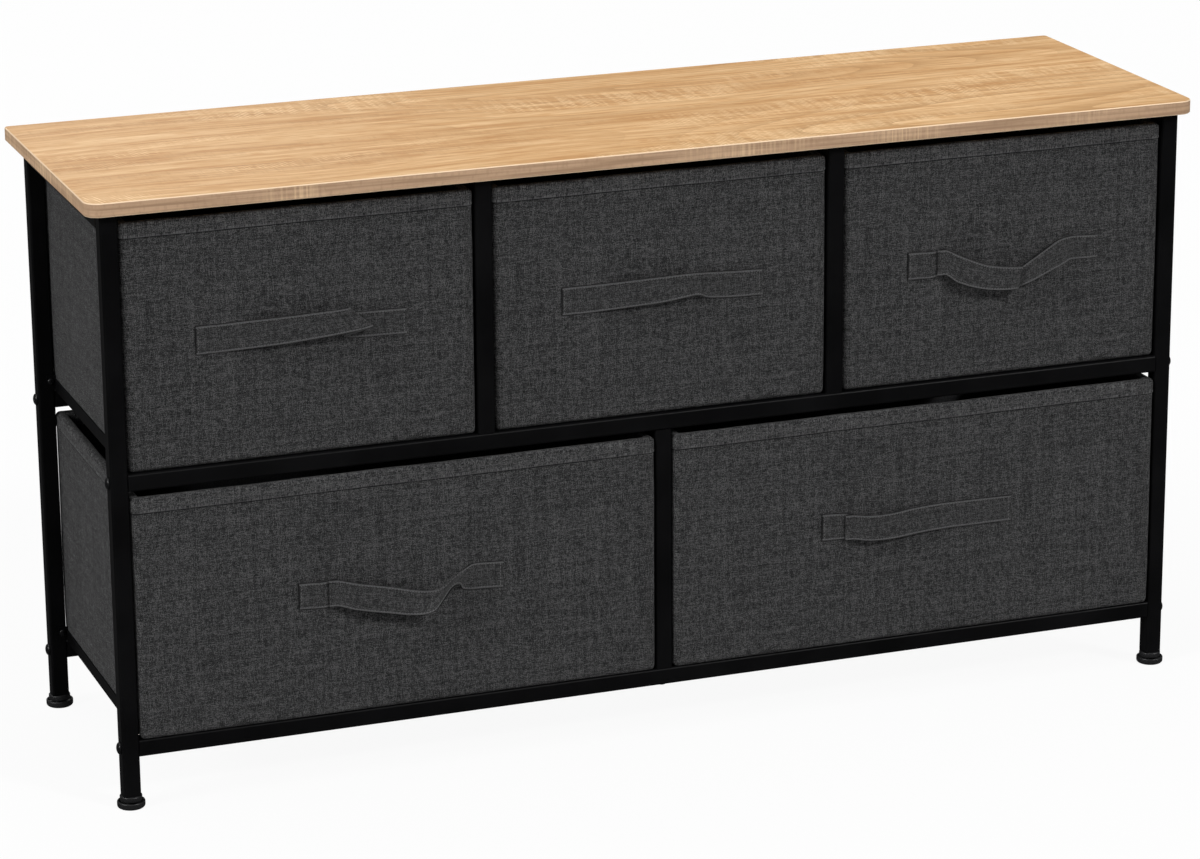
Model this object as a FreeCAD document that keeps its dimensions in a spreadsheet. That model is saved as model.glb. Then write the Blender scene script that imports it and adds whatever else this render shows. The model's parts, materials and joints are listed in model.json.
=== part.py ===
"""Fabric drawer dresser: a wood-grain top board on a square-tube steel frame, with five fabric drawers.

Frame of the part: +Z up, the front faces -Y, +X to the right as seen from the front.
The origin is on the floor, under the centre of the top board. Lengths are in millimetres.
"""

import FreeCAD, Part
import os

import Sketcher

from FreeCAD import Placement, Rotation, Vector

# Driving dimensions: spreadsheet alias, value and meaning.
DRIVING = (
    ("BoardThickness", 12, "top board"),
    ("BoardFrontRadius", 13, "front corners of the top board"),
    ("BoardRearRadius", 4, "rear corners of the top board"),
    ("BoardEdgeBevel", 0.8, "bevel along the board's top and bottom edges"),
    ("BoardFrontOverhang", 8.5, "board in front of the front posts"),
    ("BoardRearOverhang", 17.5, "board behind the rear posts"),
    ("BoardSideOverhang", 12, "board past the posts on both sides"),
    ("TubeSide", 15, "outside of every square tube"),
    ("TubeWall", 1.2, "tube wall"),
    ("TubeCorner", 2, "outside corner radius of the tubes"),
    ("CaseWidth", 976, "outside of left post to outside of right post"),
    ("CaseDepth", 274, "front of front post to back of rear post"),
    ("CaseHeight", 517, "floor to the top of the posts"),
    ("BottomRailHeight", 46, "floor to the underside of the bottom rails"),
    ("MiddleRailHeight", 280, "floor to the underside of the middle rails"),
    ("UpperDrawerGap", 10.5, "rims of the upper drawers to the board"),
    ("LowerDrawerGap", 7.5, "rims of the lower drawers to the middle rails"),
    ("DrawerDepthGap", 6, "drawer shorter than the case, front to back"),
    ("DrawerSideGap", 2.75, "drawer to the post or divider beside it"),
    ("DrawerCorner", 3, "upright corners of a drawer"),
    ("UpperSetback", 4, "upper drawer fronts behind the front posts"),
    ("FabricThickness", 1.5, "cover of a drawer"),
    ("StiffenerThickness", 2.5, "boards in the drawer walls"),
    ("HemDepth", 12, "hem that folds over the wall boards"),
    ("BoardPlay", 0.25, "wall and bottom boards inside the cover"),
    ("BottomPanel", 3, "loose bottom board of a drawer"),
    ("StrapSpan", 182, "strap handle, end to end"),
    ("StrapWidth", 25, "webbing width"),
    ("StrapThickness", 2, "webbing thickness"),
    ("StrapTab", 28, "sewn end of a strap"),
    ("StrapStandOff", 6.5, "strap to drawer front at mid span"),
    ("StrapDroop", 12, "mid span below the sewn ends"),
    ("StrapLift", 3, "sewn ends above the middle of the drawer's front"),
    ("RunnerLeg", 12, "both legs of the angle runners"),
    ("RunnerThickness", 1.2, "sheet of the angle runners"),
    ("RunnerBend", 1.8, "outside bend radius of the runners"),
    ("EarWidth", 7.2, "ears at the runner's ends, on the faces of posts and dividers"),
    ("EarHeight", 15, "ears at the runner's ends"),
    ("GlideGap", 0.3, "drawer bottom over its runners"),
    ("DiscDiameter", 24, "disc of a levelling foot"),
    ("DiscHeight", 5, "disc of a levelling foot"),
    ("DiscGap", 1, "disc to collar when the foot is screwed in"),
    ("CollarDiameter", 20, "collar of a foot socket"),
    ("CollarHeight", 5, "collar of a foot socket"),
    ("SocketDepth", 22, "socket plug inside the post"),
    ("PlugGap", 0.1, "plugs inside the tubes"),
    ("StudDiameter", 6, "stud of a levelling foot"),
    ("StudLength", 18.8, "stud above the disc"),
    ("StudGap", 0.08, "stud in its socket, radial"),
    ("NeckDiameter", 10, "shoulder that seats against the socket's collar"),
    ("ThreadGap", 0.06, "screws and studs in their threaded holes, radial"),
    ("BoltDiameter", 6, "bolts through the posts, shank and square neck"),
    ("BoltHeadDiameter", 10.6, "domed bolt heads"),
    ("BoltHeadHeight", 3.2, "domed bolt heads"),
    ("BoltHeadCrown", 2, "bevel of the bolt heads"),
    ("BoltGrip", 12, "bolt inside its end insert"),
    ("InsertLength", 14, "threaded inserts in the rail ends"),
    ("ShortInsertLength", 8, "threaded inserts in the divider ends"),
    ("ScrewDiameter", 4, "divider screws"),
    ("ScrewHeadDiameter", 8.4, "divider screws, across the head"),
    ("ScrewHeadHeight", 2.2, "divider screws"),
    ("FlatHeadHeight", 0.8, "low heads of the screws on top of the middle rails"),
    ("ShortBite", 7, "screw inside a divider's insert"),
    ("HoleGap", 0.25, "clearance holes round bolts and screws, radial"),
)

# Sizes and places worked out from the driving dimensions.
BOARD_WIDTH = "(Sizes.CaseWidth + 2 * Sizes.BoardSideOverhang)"
BOARD_DEPTH = "(Sizes.CaseDepth + Sizes.BoardFrontOverhang + Sizes.BoardRearOverhang)"
POST_X = "(Sizes.CaseWidth - Sizes.TubeSide) / 2"
INNER_X = "(Sizes.CaseWidth / 2 - Sizes.TubeSide)"
CASE_FRONT = f"(Sizes.BoardFrontOverhang - {BOARD_DEPTH} / 2)"
CASE_BACK = f"({CASE_FRONT} + Sizes.CaseDepth)"
FRONT_Y = f"({CASE_FRONT} + Sizes.TubeSide / 2)"
REAR_Y = f"({CASE_BACK} - Sizes.TubeSide / 2)"
HALF_TUBE = "(Sizes.TubeSide / 2)"
SOCKET_Z = "(Sizes.DiscHeight + Sizes.DiscGap)"
POST_Z = f"({SOCKET_Z} + Sizes.CollarHeight)"
RAIL_LENGTH = f"(2 * {INNER_X})"
BAR_LENGTH = "(Sizes.CaseDepth - 2 * Sizes.TubeSide)"
DRAWER_DEPTH = "(Sizes.CaseDepth - Sizes.DrawerDepthGap)"
UPPER_BAY = f"((2 * {INNER_X} - 2 * Sizes.TubeSide) / 3)"
LOWER_BAY = f"((2 * {INNER_X} - Sizes.TubeSide) / 2)"
UPPER_DIVIDER_X = f"(({UPPER_BAY} + Sizes.TubeSide) / 2)"
BORE_INSIDE = "(Sizes.TubeSide - 2 * Sizes.TubeWall - 2 * Sizes.PlugGap)"
BOARD_INSET = "(Sizes.FabricThickness + Sizes.BoardPlay)"
WALL_BUILD = f"({BOARD_INSET} + Sizes.StiffenerThickness + {BOARD_INSET})"
BOLT_HOLE = "(Sizes.BoltDiameter + 2 * Sizes.HoleGap)"
SCREW_HOLE = "(Sizes.ScrewDiameter + 2 * Sizes.HoleGap)"
LEVELS = {"bottom": "Sizes.BottomRailHeight", "middle": "Sizes.MiddleRailHeight"}
CEILINGS = {
    "bottom": "Sizes.MiddleRailHeight - Sizes.LowerDrawerGap",
    "middle": "Sizes.CaseHeight - Sizes.UpperDrawerGap",
}
SETBACKS = {"bottom": "0", "middle": "Sizes.UpperSetback"}
RAIL_ROWS = {"front": FRONT_Y, "rear": REAR_Y}
SIDES = {"left": -1, "right": 1}


class Bay:
    """The place that one drawer slides in, between two uprights."""

    def __init__(self, name, level, centre, width):
        self.name = name
        self.level = level
        self.centre = centre
        self.width = width
        self.drawer_width = f"({width} - 2 * Sizes.DrawerSideGap)"
        self.rail_top = f"({LEVELS[level]} + Sizes.TubeSide)"
        self.drawer_z = f"({self.rail_top} + Sizes.RunnerThickness + Sizes.GlideGap)"
        self.drawer_height = f"({CEILINGS[level]} - {self.drawer_z})"
        self.front_y = f"({CASE_FRONT} + {SETBACKS[level]})"


UPPER_STEP = f"({UPPER_BAY} + Sizes.TubeSide)"
LOWER_STEP = f"(({LOWER_BAY} + Sizes.TubeSide) / 2)"
BAYS = (
    Bay("top_left", "middle", f"(-{UPPER_STEP})", UPPER_BAY),
    Bay("top_middle", "middle", "0", UPPER_BAY),
    Bay("top_right", "middle", UPPER_STEP, UPPER_BAY),
    Bay("bottom_left", "bottom", f"(-{LOWER_STEP})", LOWER_BAY),
    Bay("bottom_right", "bottom", LOWER_STEP, LOWER_BAY),
)

doc = FreeCAD.newDocument("FabricDrawerDresser")
sheet = doc.addObject("Spreadsheet::Sheet", "Sizes")
finished = []


def fill_sheet():
    """Writes the driving dimensions, one row each, and names their cells."""
    for row, (alias, size, meaning) in enumerate(DRIVING, start=1):
        sheet.set(f"A{row}", alias)
        sheet.set(f"B{row}", str(size))
        sheet.set(f"C{row}", meaning)
        sheet.setAlias(f"B{row}", alias)
    doc.recompute()


def number(expression):
    """The present value of an expression on the sheet's cells."""
    found = sheet.evalExpression(expression.replace("Sizes.", ""))
    return float(getattr(found, "Value", found))


def place(thing, x="0", y="0", z="0", turn=Rotation()):
    """Puts a piece at three expressions, turned first."""
    thing.Placement = Placement(Vector(number(x), number(y), number(z)), turn)
    for axis, expression in zip("xyz", (x, y, z)):
        thing.setExpression(f"Placement.Base.{axis}", expression)


def finish(thing, label):
    """Gives a piece its name and lists it for export."""
    thing.Label = label
    finished.append(thing)
    return thing


def origin_plane(body, role):
    """One of a body's own three origin planes."""
    return next(plane for plane in body.Origin.OriginFeatures if plane.Role == role)


def new_sketch(body, name, role="XY_Plane", offset="0"):
    """An empty sketch on an origin plane, moved along its normal."""
    sketch = body.newObject("Sketcher::SketchObject", name)
    sketch.AttachmentSupport = [(origin_plane(body, role), "")]
    sketch.MapMode = "FlatFace"
    sketch.AttachmentOffset = Placement(Vector(0, 0, number(offset)), Rotation())
    sketch.setExpression("AttachmentOffset.Base.z", offset)
    return sketch


def bind(sketch, index, name, expression):
    """Names a constraint and ties it to an expression."""
    sketch.renameConstraint(index, name)
    sketch.setExpression(f"Constraints.{name}", expression)


def add_polygon(sketch, corners, prefix):
    """A closed outline of straight edges through corners given as expression pairs."""
    points = [Vector(number(u), number(v), 0) for u, v in corners]
    first = sketch.GeometryCount
    for start, end in zip(points, points[1:] + points[:1]):
        sketch.addGeometry(Part.LineSegment(start, end), False)
    count = len(points)
    for side in range(count):
        following = (side + 1) % count
        sketch.addConstraint(
            Sketcher.Constraint("Coincident", first + side, 2, first + following, 1)
        )
    for side, (u, v) in enumerate(corners):
        for kind, axis, expression in (("DistanceX", "U", u), ("DistanceY", "V", v)):
            start = number(expression)
            index = sketch.addConstraint(
                Sketcher.Constraint(kind, -1, 1, first + side, 1, start)
            )
            bind(sketch, index, f"{prefix}{axis}{side}", expression)


def add_circle(sketch, u, v, diameter, prefix):
    """A circle whose centre and diameter are expressions."""
    centre = Vector(number(u), number(v), 0)
    index = sketch.addGeometry(
        Part.Circle(centre, Vector(0, 0, 1), number(diameter) / 2), False
    )
    for kind, axis, expression in (("DistanceX", "U", u), ("DistanceY", "V", v)):
        made = sketch.addConstraint(
            Sketcher.Constraint(kind, -1, 1, index, 3, number(expression))
        )
        bind(sketch, made, f"{prefix}{axis}", expression)
    made = sketch.addConstraint(Sketcher.Constraint("Diameter", index, number(diameter)))
    bind(sketch, made, f"{prefix}Diameter", diameter)


def add_pad(body, sketch, length, name="Pad"):
    """Pads a sketch by an expression."""
    pad = body.newObject("PartDesign::Pad", name)
    pad.Profile = sketch
    pad.Length = number(length)
    pad.setExpression("Length", length)
    sketch.Visibility = False
    doc.recompute()
    return pad


def add_pocket(body, sketch, depth=None, reverse=False, name="Pocket"):
    """Cuts a sketch out of the body, to a depth or right through both ways."""
    doc.recompute()
    before = body.Shape.Volume
    pocket = body.newObject("PartDesign::Pocket", name)
    pocket.Profile = sketch
    pocket.Reversed = reverse
    if depth is None:
        pocket.Type = "ThroughAll"
        pocket.Midplane = True
    else:
        pocket.Length = number(depth)
        pocket.setExpression("Length", depth)
    doc.recompute()
    if body.Shape.Volume >= before:
        raise RuntimeError(f"{body.Label}: {name} cuts nothing")
    return pocket


def upright_edges(shape, corner=None):
    """Names of a shape's edges that run along its own Z."""
    names = []
    for index, edge in enumerate(shape.Edges, start=1):
        ends = [vertex.Point for vertex in edge.Vertexes]
        if len(ends) != 2:
            continue
        span = ends[1] - ends[0]
        if abs(span.x) < 1e-6 and abs(span.y) < 1e-6 and (corner is None or corner(ends[0])):
            names.append(f"Edge{index}")
    return names


def edges_at_height(shape, height):
    """Names of a shape's edges that lie flat at one height."""
    names = []
    for index, edge in enumerate(shape.Edges, start=1):
        box = edge.BoundBox
        if abs(box.ZMin - height) < 1e-6 and abs(box.ZMax - height) < 1e-6:
            names.append(f"Edge{index}")
    return names


def add_fillet(body, base, edges, radius, name="Fillet"):
    """Rounds named edges of a feature."""
    fillet = body.newObject("PartDesign::Fillet", name)
    fillet.Base = (base, edges)
    fillet.Radius = number(radius)
    fillet.setExpression("Radius", radius)
    doc.recompute()
    return fillet


def add_bevel(body, base, edges, size, name="Bevel"):
    """Bevels named edges of a feature."""
    bevel = body.newObject("PartDesign::Chamfer", name)
    bevel.Base = (base, edges)
    bevel.Size = number(size)
    bevel.setExpression("Size", size)
    doc.recompute()
    return bevel


def rectangle(width, depth, middle_v="0"):
    """Corners of a rectangle centred on the origin, or at a height on the second axis."""
    return (
        (f"-({width}) / 2", f"{middle_v} - ({depth}) / 2"),
        (f"({width}) / 2", f"{middle_v} - ({depth}) / 2"),
        (f"({width}) / 2", f"{middle_v} + ({depth}) / 2"),
        (f"-({width}) / 2", f"{middle_v} + ({depth}) / 2"),
    )


def octagon(width, u="0", v="0"):
    """Corners of an even eight-sided pin or bore, whose width is across its flats."""
    flat = f"({width}) / 2"
    cut = f"({width}) * (sqrt(2) - 1) / 2"
    turns = (
        (flat, f"-{cut}"),
        (flat, cut),
        (cut, flat),
        (f"-{cut}", flat),
        (f"-{flat}", cut),
        (f"-{flat}", f"-{cut}"),
        (f"-{cut}", f"-{flat}"),
        (cut, f"-{flat}"),
    )
    return [(f"{u} + ({x})", f"{v} + ({y})") for x, y in turns]


ALONG_X = Rotation(Vector(0, 1, 0), 90)
ALONG_Y = Rotation(Vector(1, 0, 0), -90)


def tube(label, length):
    """A square tube with rounded corners, standing on its own origin."""
    body = doc.addObject("PartDesign::Body", f"{label}_body")
    outside = new_sketch(body, "Outside")
    add_polygon(outside, rectangle("Sizes.TubeSide", "Sizes.TubeSide"), "Outer")
    solid = add_pad(body, outside, length)
    rounded = add_fillet(
        body, solid, upright_edges(solid.Shape), "Sizes.TubeCorner", "Corners"
    )
    inside = new_sketch(body, "Inside")
    hollow = "Sizes.TubeSide - 2 * Sizes.TubeWall"
    add_polygon(inside, rectangle(hollow, hollow), "Inner")
    add_pocket(body, inside, name="Hollow")
    rounded.Visibility = False
    return finish(body, label)


def drill(body, role, holes, width, name):
    """Cuts eight-sided bores right through a body; each is placed by a pair of expressions."""
    sketch = new_sketch(body, name, role)
    for index, (u, v) in enumerate(holes):
        add_polygon(sketch, octagon(width, u, v), f"Hole{index}")
    add_pocket(body, sketch, name=f"{name}Cut")


def make_board():
    """The top board: rounded front corners and eased edges."""
    body = doc.addObject("PartDesign::Body", "BoardBody")
    outline = new_sketch(body, "Outline")
    add_polygon(outline, rectangle(BOARD_WIDTH, BOARD_DEPTH), "Corner")
    slab = add_pad(body, outline, "Sizes.BoardThickness")
    front = add_fillet(
        body,
        slab,
        upright_edges(slab.Shape, lambda point: point.y < 0),
        "Sizes.BoardFrontRadius",
        "FrontCorners",
    )
    half_depth = number(BOARD_DEPTH) / 2
    rear_edges = upright_edges(front.Shape, lambda point: point.y > half_depth - 1e-6)
    rear = add_fillet(body, front, rear_edges, "Sizes.BoardRearRadius", "RearCorners")
    flat = edges_at_height(rear.Shape, 0)
    flat += edges_at_height(rear.Shape, number("Sizes.BoardThickness"))
    add_bevel(body, rear, flat, "Sizes.BoardEdgeBevel", "EasedEdges")
    place(body, z="Sizes.CaseHeight")
    return finish(body, "top_board")


def bar_centres():
    """Left-to-right places of the four bars under the board, by name."""
    return {
        "side_top_bar_left": f"-{POST_X}",
        "side_top_bar_right": POST_X,
        "divider_top_bar_left": f"-{UPPER_DIVIDER_X}",
        "divider_top_bar_right": UPPER_DIVIDER_X,
    }


def make_posts():
    """Four corner posts, each with square bolt holes at both rail heights."""
    for row, row_y in RAIL_ROWS.items():
        for side, sign in SIDES.items():
            body = tube(f"post_{row}_{side}", f"Sizes.CaseHeight - {POST_Z}")
            holes = new_sketch(body, "BoltHoles", "YZ_Plane")
            for level, height in LEVELS.items():
                middle = f"{height} + {HALF_TUBE} - {POST_Z}"
                add_polygon(holes, rectangle(BOLT_HOLE, BOLT_HOLE, middle), level)
            add_pocket(body, holes, name="BoltHolesCut")
            place(body, f"{sign} * {POST_X}", row_y, POST_Z)


def divider_places(level):
    """Left-to-right places of the dividers that meet the long rails of one level."""
    upper = [f"-{UPPER_DIVIDER_X}", UPPER_DIVIDER_X]
    return {"middle": [*upper, "0"], "bottom": ["0"]}[level]


def make_rails():
    """Front and rear rails at both heights, between the posts, drilled for the divider screws."""
    for level, height in LEVELS.items():
        screws = [("0", f"{x} + {INNER_X}") for x in divider_places(level)]
        for row, row_y in RAIL_ROWS.items():
            body = tube(f"{row}_rail_{level}", RAIL_LENGTH)
            drill(body, "YZ_Plane", screws, SCREW_HOLE, "ScrewHoles")
            place(body, f"-{INNER_X}", row_y, f"{height} + {HALF_TUBE}", ALONG_X)


def make_top_bars():
    """Bars that run front to back under the board, between the posts and between the dividers."""
    for label, x in bar_centres().items():
        body = tube(label, BAR_LENGTH)
        start = f"{CASE_FRONT} + Sizes.TubeSide"
        place(body, x, start, f"Sizes.CaseHeight - {HALF_TUBE}", ALONG_Y)


def make_dividers():
    """Upright dividers: two pairs between the upper drawers and one pair between the lower."""
    floor = f"({LEVELS['middle']} + Sizes.TubeSide)"
    lower_floor = f"({LEVELS['bottom']} + Sizes.TubeSide)"
    for row, row_y in RAIL_ROWS.items():
        for side, sign in SIDES.items():
            upper = tube(f"upper_divider_{row}_{side}", f"Sizes.CaseHeight - {floor}")
            place(upper, f"{sign} * {UPPER_DIVIDER_X}", row_y, floor)
        lower = tube(f"lower_divider_{row}", f"{LEVELS['middle']} - {lower_floor}")
        place(lower, "0", row_y, lower_floor)


def copies(master, label, places):
    """One node of equal fasteners: a master, linked at each place, as separate solids."""
    return mixed_copies(label, [(master, spot) for spot in places])


def mixed_copies(label, spots):
    """One node of fasteners of a kind, each a master linked at its own place."""
    links = []
    for index, (master, (x, y, z, turn)) in enumerate(spots):
        link = doc.addObject("App::Link", f"{label}_{index}")
        link.LinkedObject = master
        place(link, x, y, z, turn)
        links.append(link)
    group = doc.addObject("Part::Compound", f"{label}_group")
    group.Links = links
    return finish(group, label)


def add_shank(body, width, length, above="0"):
    """An eight-sided shank below a head, or below a neck of a given length."""
    shank = new_sketch(body, "Shank", offset=f"-({above}) - ({length})")
    add_polygon(shank, octagon(width), "Shank")
    add_pad(body, shank, length, "ShankPad")


OUT_LEFT = Rotation(Vector(0, 1, 0), -90)
OUT_RIGHT = Rotation(Vector(0, 1, 0), 90)
OUT_DOWN = Rotation(Vector(1, 0, 0), 180)
OUT_UP = Rotation()
OUTWARD = {"left": OUT_LEFT, "right": OUT_RIGHT}


def make_post_bolts():
    """Domed, square-necked bolts through the posts into the ends of the long rails."""
    bolt = doc.addObject("PartDesign::Body", "PostBolt")
    head_sketch = new_sketch(bolt, "Head")
    add_circle(head_sketch, "0", "0", "Sizes.BoltHeadDiameter", "Head")
    head = add_pad(bolt, head_sketch, "Sizes.BoltHeadHeight", "HeadPad")
    rim = edges_at_height(head.Shape, number("Sizes.BoltHeadHeight"))
    add_bevel(bolt, head, rim, "Sizes.BoltHeadCrown", "Crown")
    neck = new_sketch(bolt, "Neck", offset="-Sizes.TubeSide")
    add_polygon(neck, rectangle("Sizes.BoltDiameter", "Sizes.BoltDiameter"), "Neck")
    add_pad(bolt, neck, "Sizes.TubeSide", "NeckPad")
    add_shank(bolt, "Sizes.BoltDiameter", "Sizes.BoltGrip", "Sizes.TubeSide")
    spots = [
        (f"{sign} * Sizes.CaseWidth / 2", row_y, f"{height} + {HALF_TUBE}", OUTWARD[side])
        for side, sign in SIDES.items()
        for row_y in RAIL_ROWS.values()
        for height in LEVELS.values()
    ]
    copies(bolt, "post_bolts", spots)


def end_insert(name, bore, length):
    """A threaded plug for the end of a tube, flush with its own XY plane."""
    body = doc.addObject("PartDesign::Body", name)
    plug = new_sketch(body, "Plug")
    add_polygon(plug, rectangle(BORE_INSIDE, BORE_INSIDE), "Plug")
    add_pad(body, plug, length)
    drill(body, "XY_Plane", [("0", "0")], f"{bore} + 2 * Sizes.ThreadGap", "Thread")
    return body


def make_rail_inserts():
    """Threaded plugs in both ends of the long rails."""
    insert = end_insert("RailInsert", "Sizes.BoltDiameter", "Sizes.InsertLength")
    inward = {"left": OUT_RIGHT, "right": OUT_LEFT}
    spots = [
        (f"{sign} * {INNER_X}", row_y, f"{height} + {HALF_TUBE}", inward[side])
        for side, sign in SIDES.items()
        for row_y in RAIL_ROWS.values()
        for height in LEVELS.values()
    ]
    copies(insert, "rail_end_inserts", spots)


def make_divider_inserts():
    """Threaded plugs in the ends of the dividers that stand on or hang from a rail."""
    insert = end_insert("DividerInsert", "Sizes.ScrewDiameter", "Sizes.ShortInsertLength")
    middle_top = f"{LEVELS['middle']} + Sizes.TubeSide"
    bottom_top = f"{LEVELS['bottom']} + Sizes.TubeSide"
    spots = []
    for row_y in RAIL_ROWS.values():
        for sign in SIDES.values():
            spots.append((f"{sign} * {UPPER_DIVIDER_X}", row_y, middle_top, OUT_UP))
        spots.append(("0", row_y, bottom_top, OUT_UP))
        spots.append(("0", row_y, LEVELS["middle"], OUT_DOWN))
    copies(insert, "divider_end_inserts", spots)


def rail_screw(name, head_height):
    """A screw with an eight-sided head, long enough to reach through a rail into an insert."""
    body = doc.addObject("PartDesign::Body", name)
    head = new_sketch(body, "Head")
    add_polygon(head, octagon("Sizes.ScrewHeadDiameter"), "Head")
    add_pad(body, head, head_height, "HeadPad")
    add_shank(body, "Sizes.ScrewDiameter", "Sizes.TubeSide + Sizes.ShortBite")
    return body


def make_divider_screws():
    """Screws up through the rails into the dividers' feet, and down into the lower ones' tops."""
    tall = rail_screw("DividerScrew", "Sizes.ScrewHeadHeight")
    low = rail_screw("LowScrew", "Sizes.FlatHeadHeight")
    spots = []
    for row_y in RAIL_ROWS.values():
        for sign in SIDES.values():
            foot = f"{sign} * {UPPER_DIVIDER_X}", row_y, LEVELS["middle"], OUT_DOWN
            spots.append((tall, foot))
        spots.append((tall, ("0", row_y, LEVELS["bottom"], OUT_DOWN)))
        top = "0", row_y, f"{LEVELS['middle']} + Sizes.TubeSide", OUT_UP
        spots.append((low, top))
    mixed_copies("divider_screws", spots)


def make_foot_sockets():
    """Plugs in the feet of the posts, each with a round collar below and a threaded bore."""
    body = doc.addObject("PartDesign::Body", "FootSocket")
    collar_sketch = new_sketch(body, "Collar")
    add_circle(collar_sketch, "0", "0", "Sizes.CollarDiameter", "Collar")
    add_pad(body, collar_sketch, "Sizes.CollarHeight", "CollarPad")
    plug = new_sketch(body, "Plug", offset="Sizes.CollarHeight")
    add_polygon(plug, rectangle(BORE_INSIDE, BORE_INSIDE), "Plug")
    add_pad(body, plug, "Sizes.SocketDepth", "PlugPad")
    drill(body, "XY_Plane", [("0", "0")], "Sizes.StudDiameter + 2 * Sizes.StudGap", "Thread")
    copies(body, "foot_sockets", [(x, y, SOCKET_Z, OUT_UP) for _, x, y in corners()])


def corners():
    """Name and plan place of each corner post."""
    return [
        (f"{row}_{side}", f"{sign} * {POST_X}", row_y)
        for row, row_y in RAIL_ROWS.items()
        for side, sign in SIDES.items()
    ]


def make_levelling_feet():
    """Screw feet: a disc, a shoulder and a stud."""
    for corner, x, y in corners():
        body = doc.addObject("PartDesign::Body", f"Foot_{corner}")
        disc = new_sketch(body, "Disc")
        add_circle(disc, "0", "0", "Sizes.DiscDiameter", "Disc")
        add_pad(body, disc, "Sizes.DiscHeight", "DiscPad")
        neck = new_sketch(body, "Neck", offset="Sizes.DiscHeight")
        add_polygon(neck, octagon("Sizes.NeckDiameter"), "Neck")
        add_pad(body, neck, "Sizes.DiscGap", "NeckPad")
        stud = new_sketch(body, "Stud", offset="Sizes.DiscHeight")
        add_polygon(stud, octagon("Sizes.StudDiameter"), "Stud")
        add_pad(body, stud, "Sizes.StudLength", "StudPad")
        place(body, x, y)
        finish(body, f"levelling_foot_{corner}")


def make_runner(bay, side):
    """A bent-sheet angle under one edge of a drawer, its end ears against two uprights."""
    sign = SIDES[side]
    leg = f"{-sign} * Sizes.RunnerLeg"
    sheet_x = f"{-sign} * Sizes.RunnerThickness"
    profile = (
        ("0", "0"),
        (leg, "0"),
        (leg, "-Sizes.RunnerThickness"),
        (sheet_x, "-Sizes.RunnerThickness"),
        (sheet_x, "-Sizes.RunnerLeg"),
        ("0", "-Sizes.RunnerLeg"),
    )
    body = doc.addObject("PartDesign::Body", f"Runner_{bay.name}_{side}")
    sketch = new_sketch(body, "Profile")
    add_polygon(sketch, profile, "Leg")
    angle = add_pad(body, sketch, BAR_LENGTH)
    heel = upright_edges(angle.Shape, lambda point: abs(point.x) + abs(point.y) < 1e-6)
    add_fillet(body, angle, heel, "Sizes.RunnerBend", "Heel")
    outer = f"{sign} * Sizes.EarWidth"
    ear = (
        (outer, "-Sizes.RunnerBend"),
        (outer, "-Sizes.EarHeight"),
        (sheet_x, "-Sizes.EarHeight"),
        (sheet_x, "-Sizes.RunnerBend"),
    )
    ends = {"FrontEar": "0", "RearEar": f"{BAR_LENGTH} - Sizes.RunnerThickness"}
    for name, offset in ends.items():
        tab = new_sketch(body, name, offset=offset)
        add_polygon(tab, ear, "Ear")
        add_pad(body, tab, "Sizes.RunnerThickness", f"{name}Pad")
    edge = f"{bay.centre} + {sign} * {bay.width} / 2"
    place(body, edge, f"{CASE_FRONT} + Sizes.TubeSide", bay.rail_top, ALONG_Y)
    return finish(body, f"{bay.name}_runner_{side}")


def inset_rectangle(bay, inset):
    """The drawer's floor plan, drawn in by the same distance on all four sides."""
    return rectangle(f"{bay.drawer_width} - 2 * ({inset})", f"{DRAWER_DEPTH} - 2 * ({inset})")


def drawer_place(bay, thing, height="0"):
    """Puts a piece over the middle of a drawer's floor, at a height above its underside."""
    middle_y = f"{bay.front_y} + {DRAWER_DEPTH} / 2"
    place(thing, bay.centre, middle_y, f"{bay.drawer_z} + {height}")


def make_drawer_cover(bay):
    """The fabric box of a drawer; its rim folds inward and down over the wall boards."""
    body = doc.addObject("PartDesign::Body", f"Cover_{bay.name}")
    outside = new_sketch(body, "Outside")
    add_polygon(outside, inset_rectangle(bay, "0"), "Outer")
    block = add_pad(body, outside, bay.drawer_height)
    add_fillet(body, block, upright_edges(block.Shape), "Sizes.DrawerCorner", "Corners")
    mouth = new_sketch(body, "Mouth", offset=bay.drawer_height)
    add_polygon(mouth, inset_rectangle(bay, WALL_BUILD), "Mouth")
    add_pocket(body, mouth, f"{bay.drawer_height} - Sizes.FabricThickness", name="MouthCut")
    inside = new_sketch(body, "Inside", offset=f"{bay.drawer_height} - Sizes.HemDepth")
    add_polygon(inside, inset_rectangle(bay, "Sizes.FabricThickness"), "Inner")
    below_hem = f"{bay.drawer_height} - Sizes.HemDepth - Sizes.FabricThickness"
    add_pocket(body, inside, below_hem, name="InsideCut")
    fold = new_sketch(body, "Fold", offset=f"{bay.drawer_height} - Sizes.FabricThickness")
    add_polygon(fold, inset_rectangle(bay, "Sizes.FabricThickness"), "FoldOuter")
    flap_back = f"{WALL_BUILD} - Sizes.FabricThickness"
    add_polygon(fold, inset_rectangle(bay, flap_back), "FoldInner")
    add_pocket(body, fold, "Sizes.HemDepth - Sizes.FabricThickness", name="FoldCut")
    drawer_place(bay, body)
    finish(body, f"{bay.name}_drawer_cover")


def board(name, length, depth, height):
    """A plain flat board, its three sizes given as expressions."""
    box = doc.addObject("Part::Box", name)
    for axis, expression in (("Length", length), ("Width", depth), ("Height", height)):
        box.setExpression(axis, expression)
    return box


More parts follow.
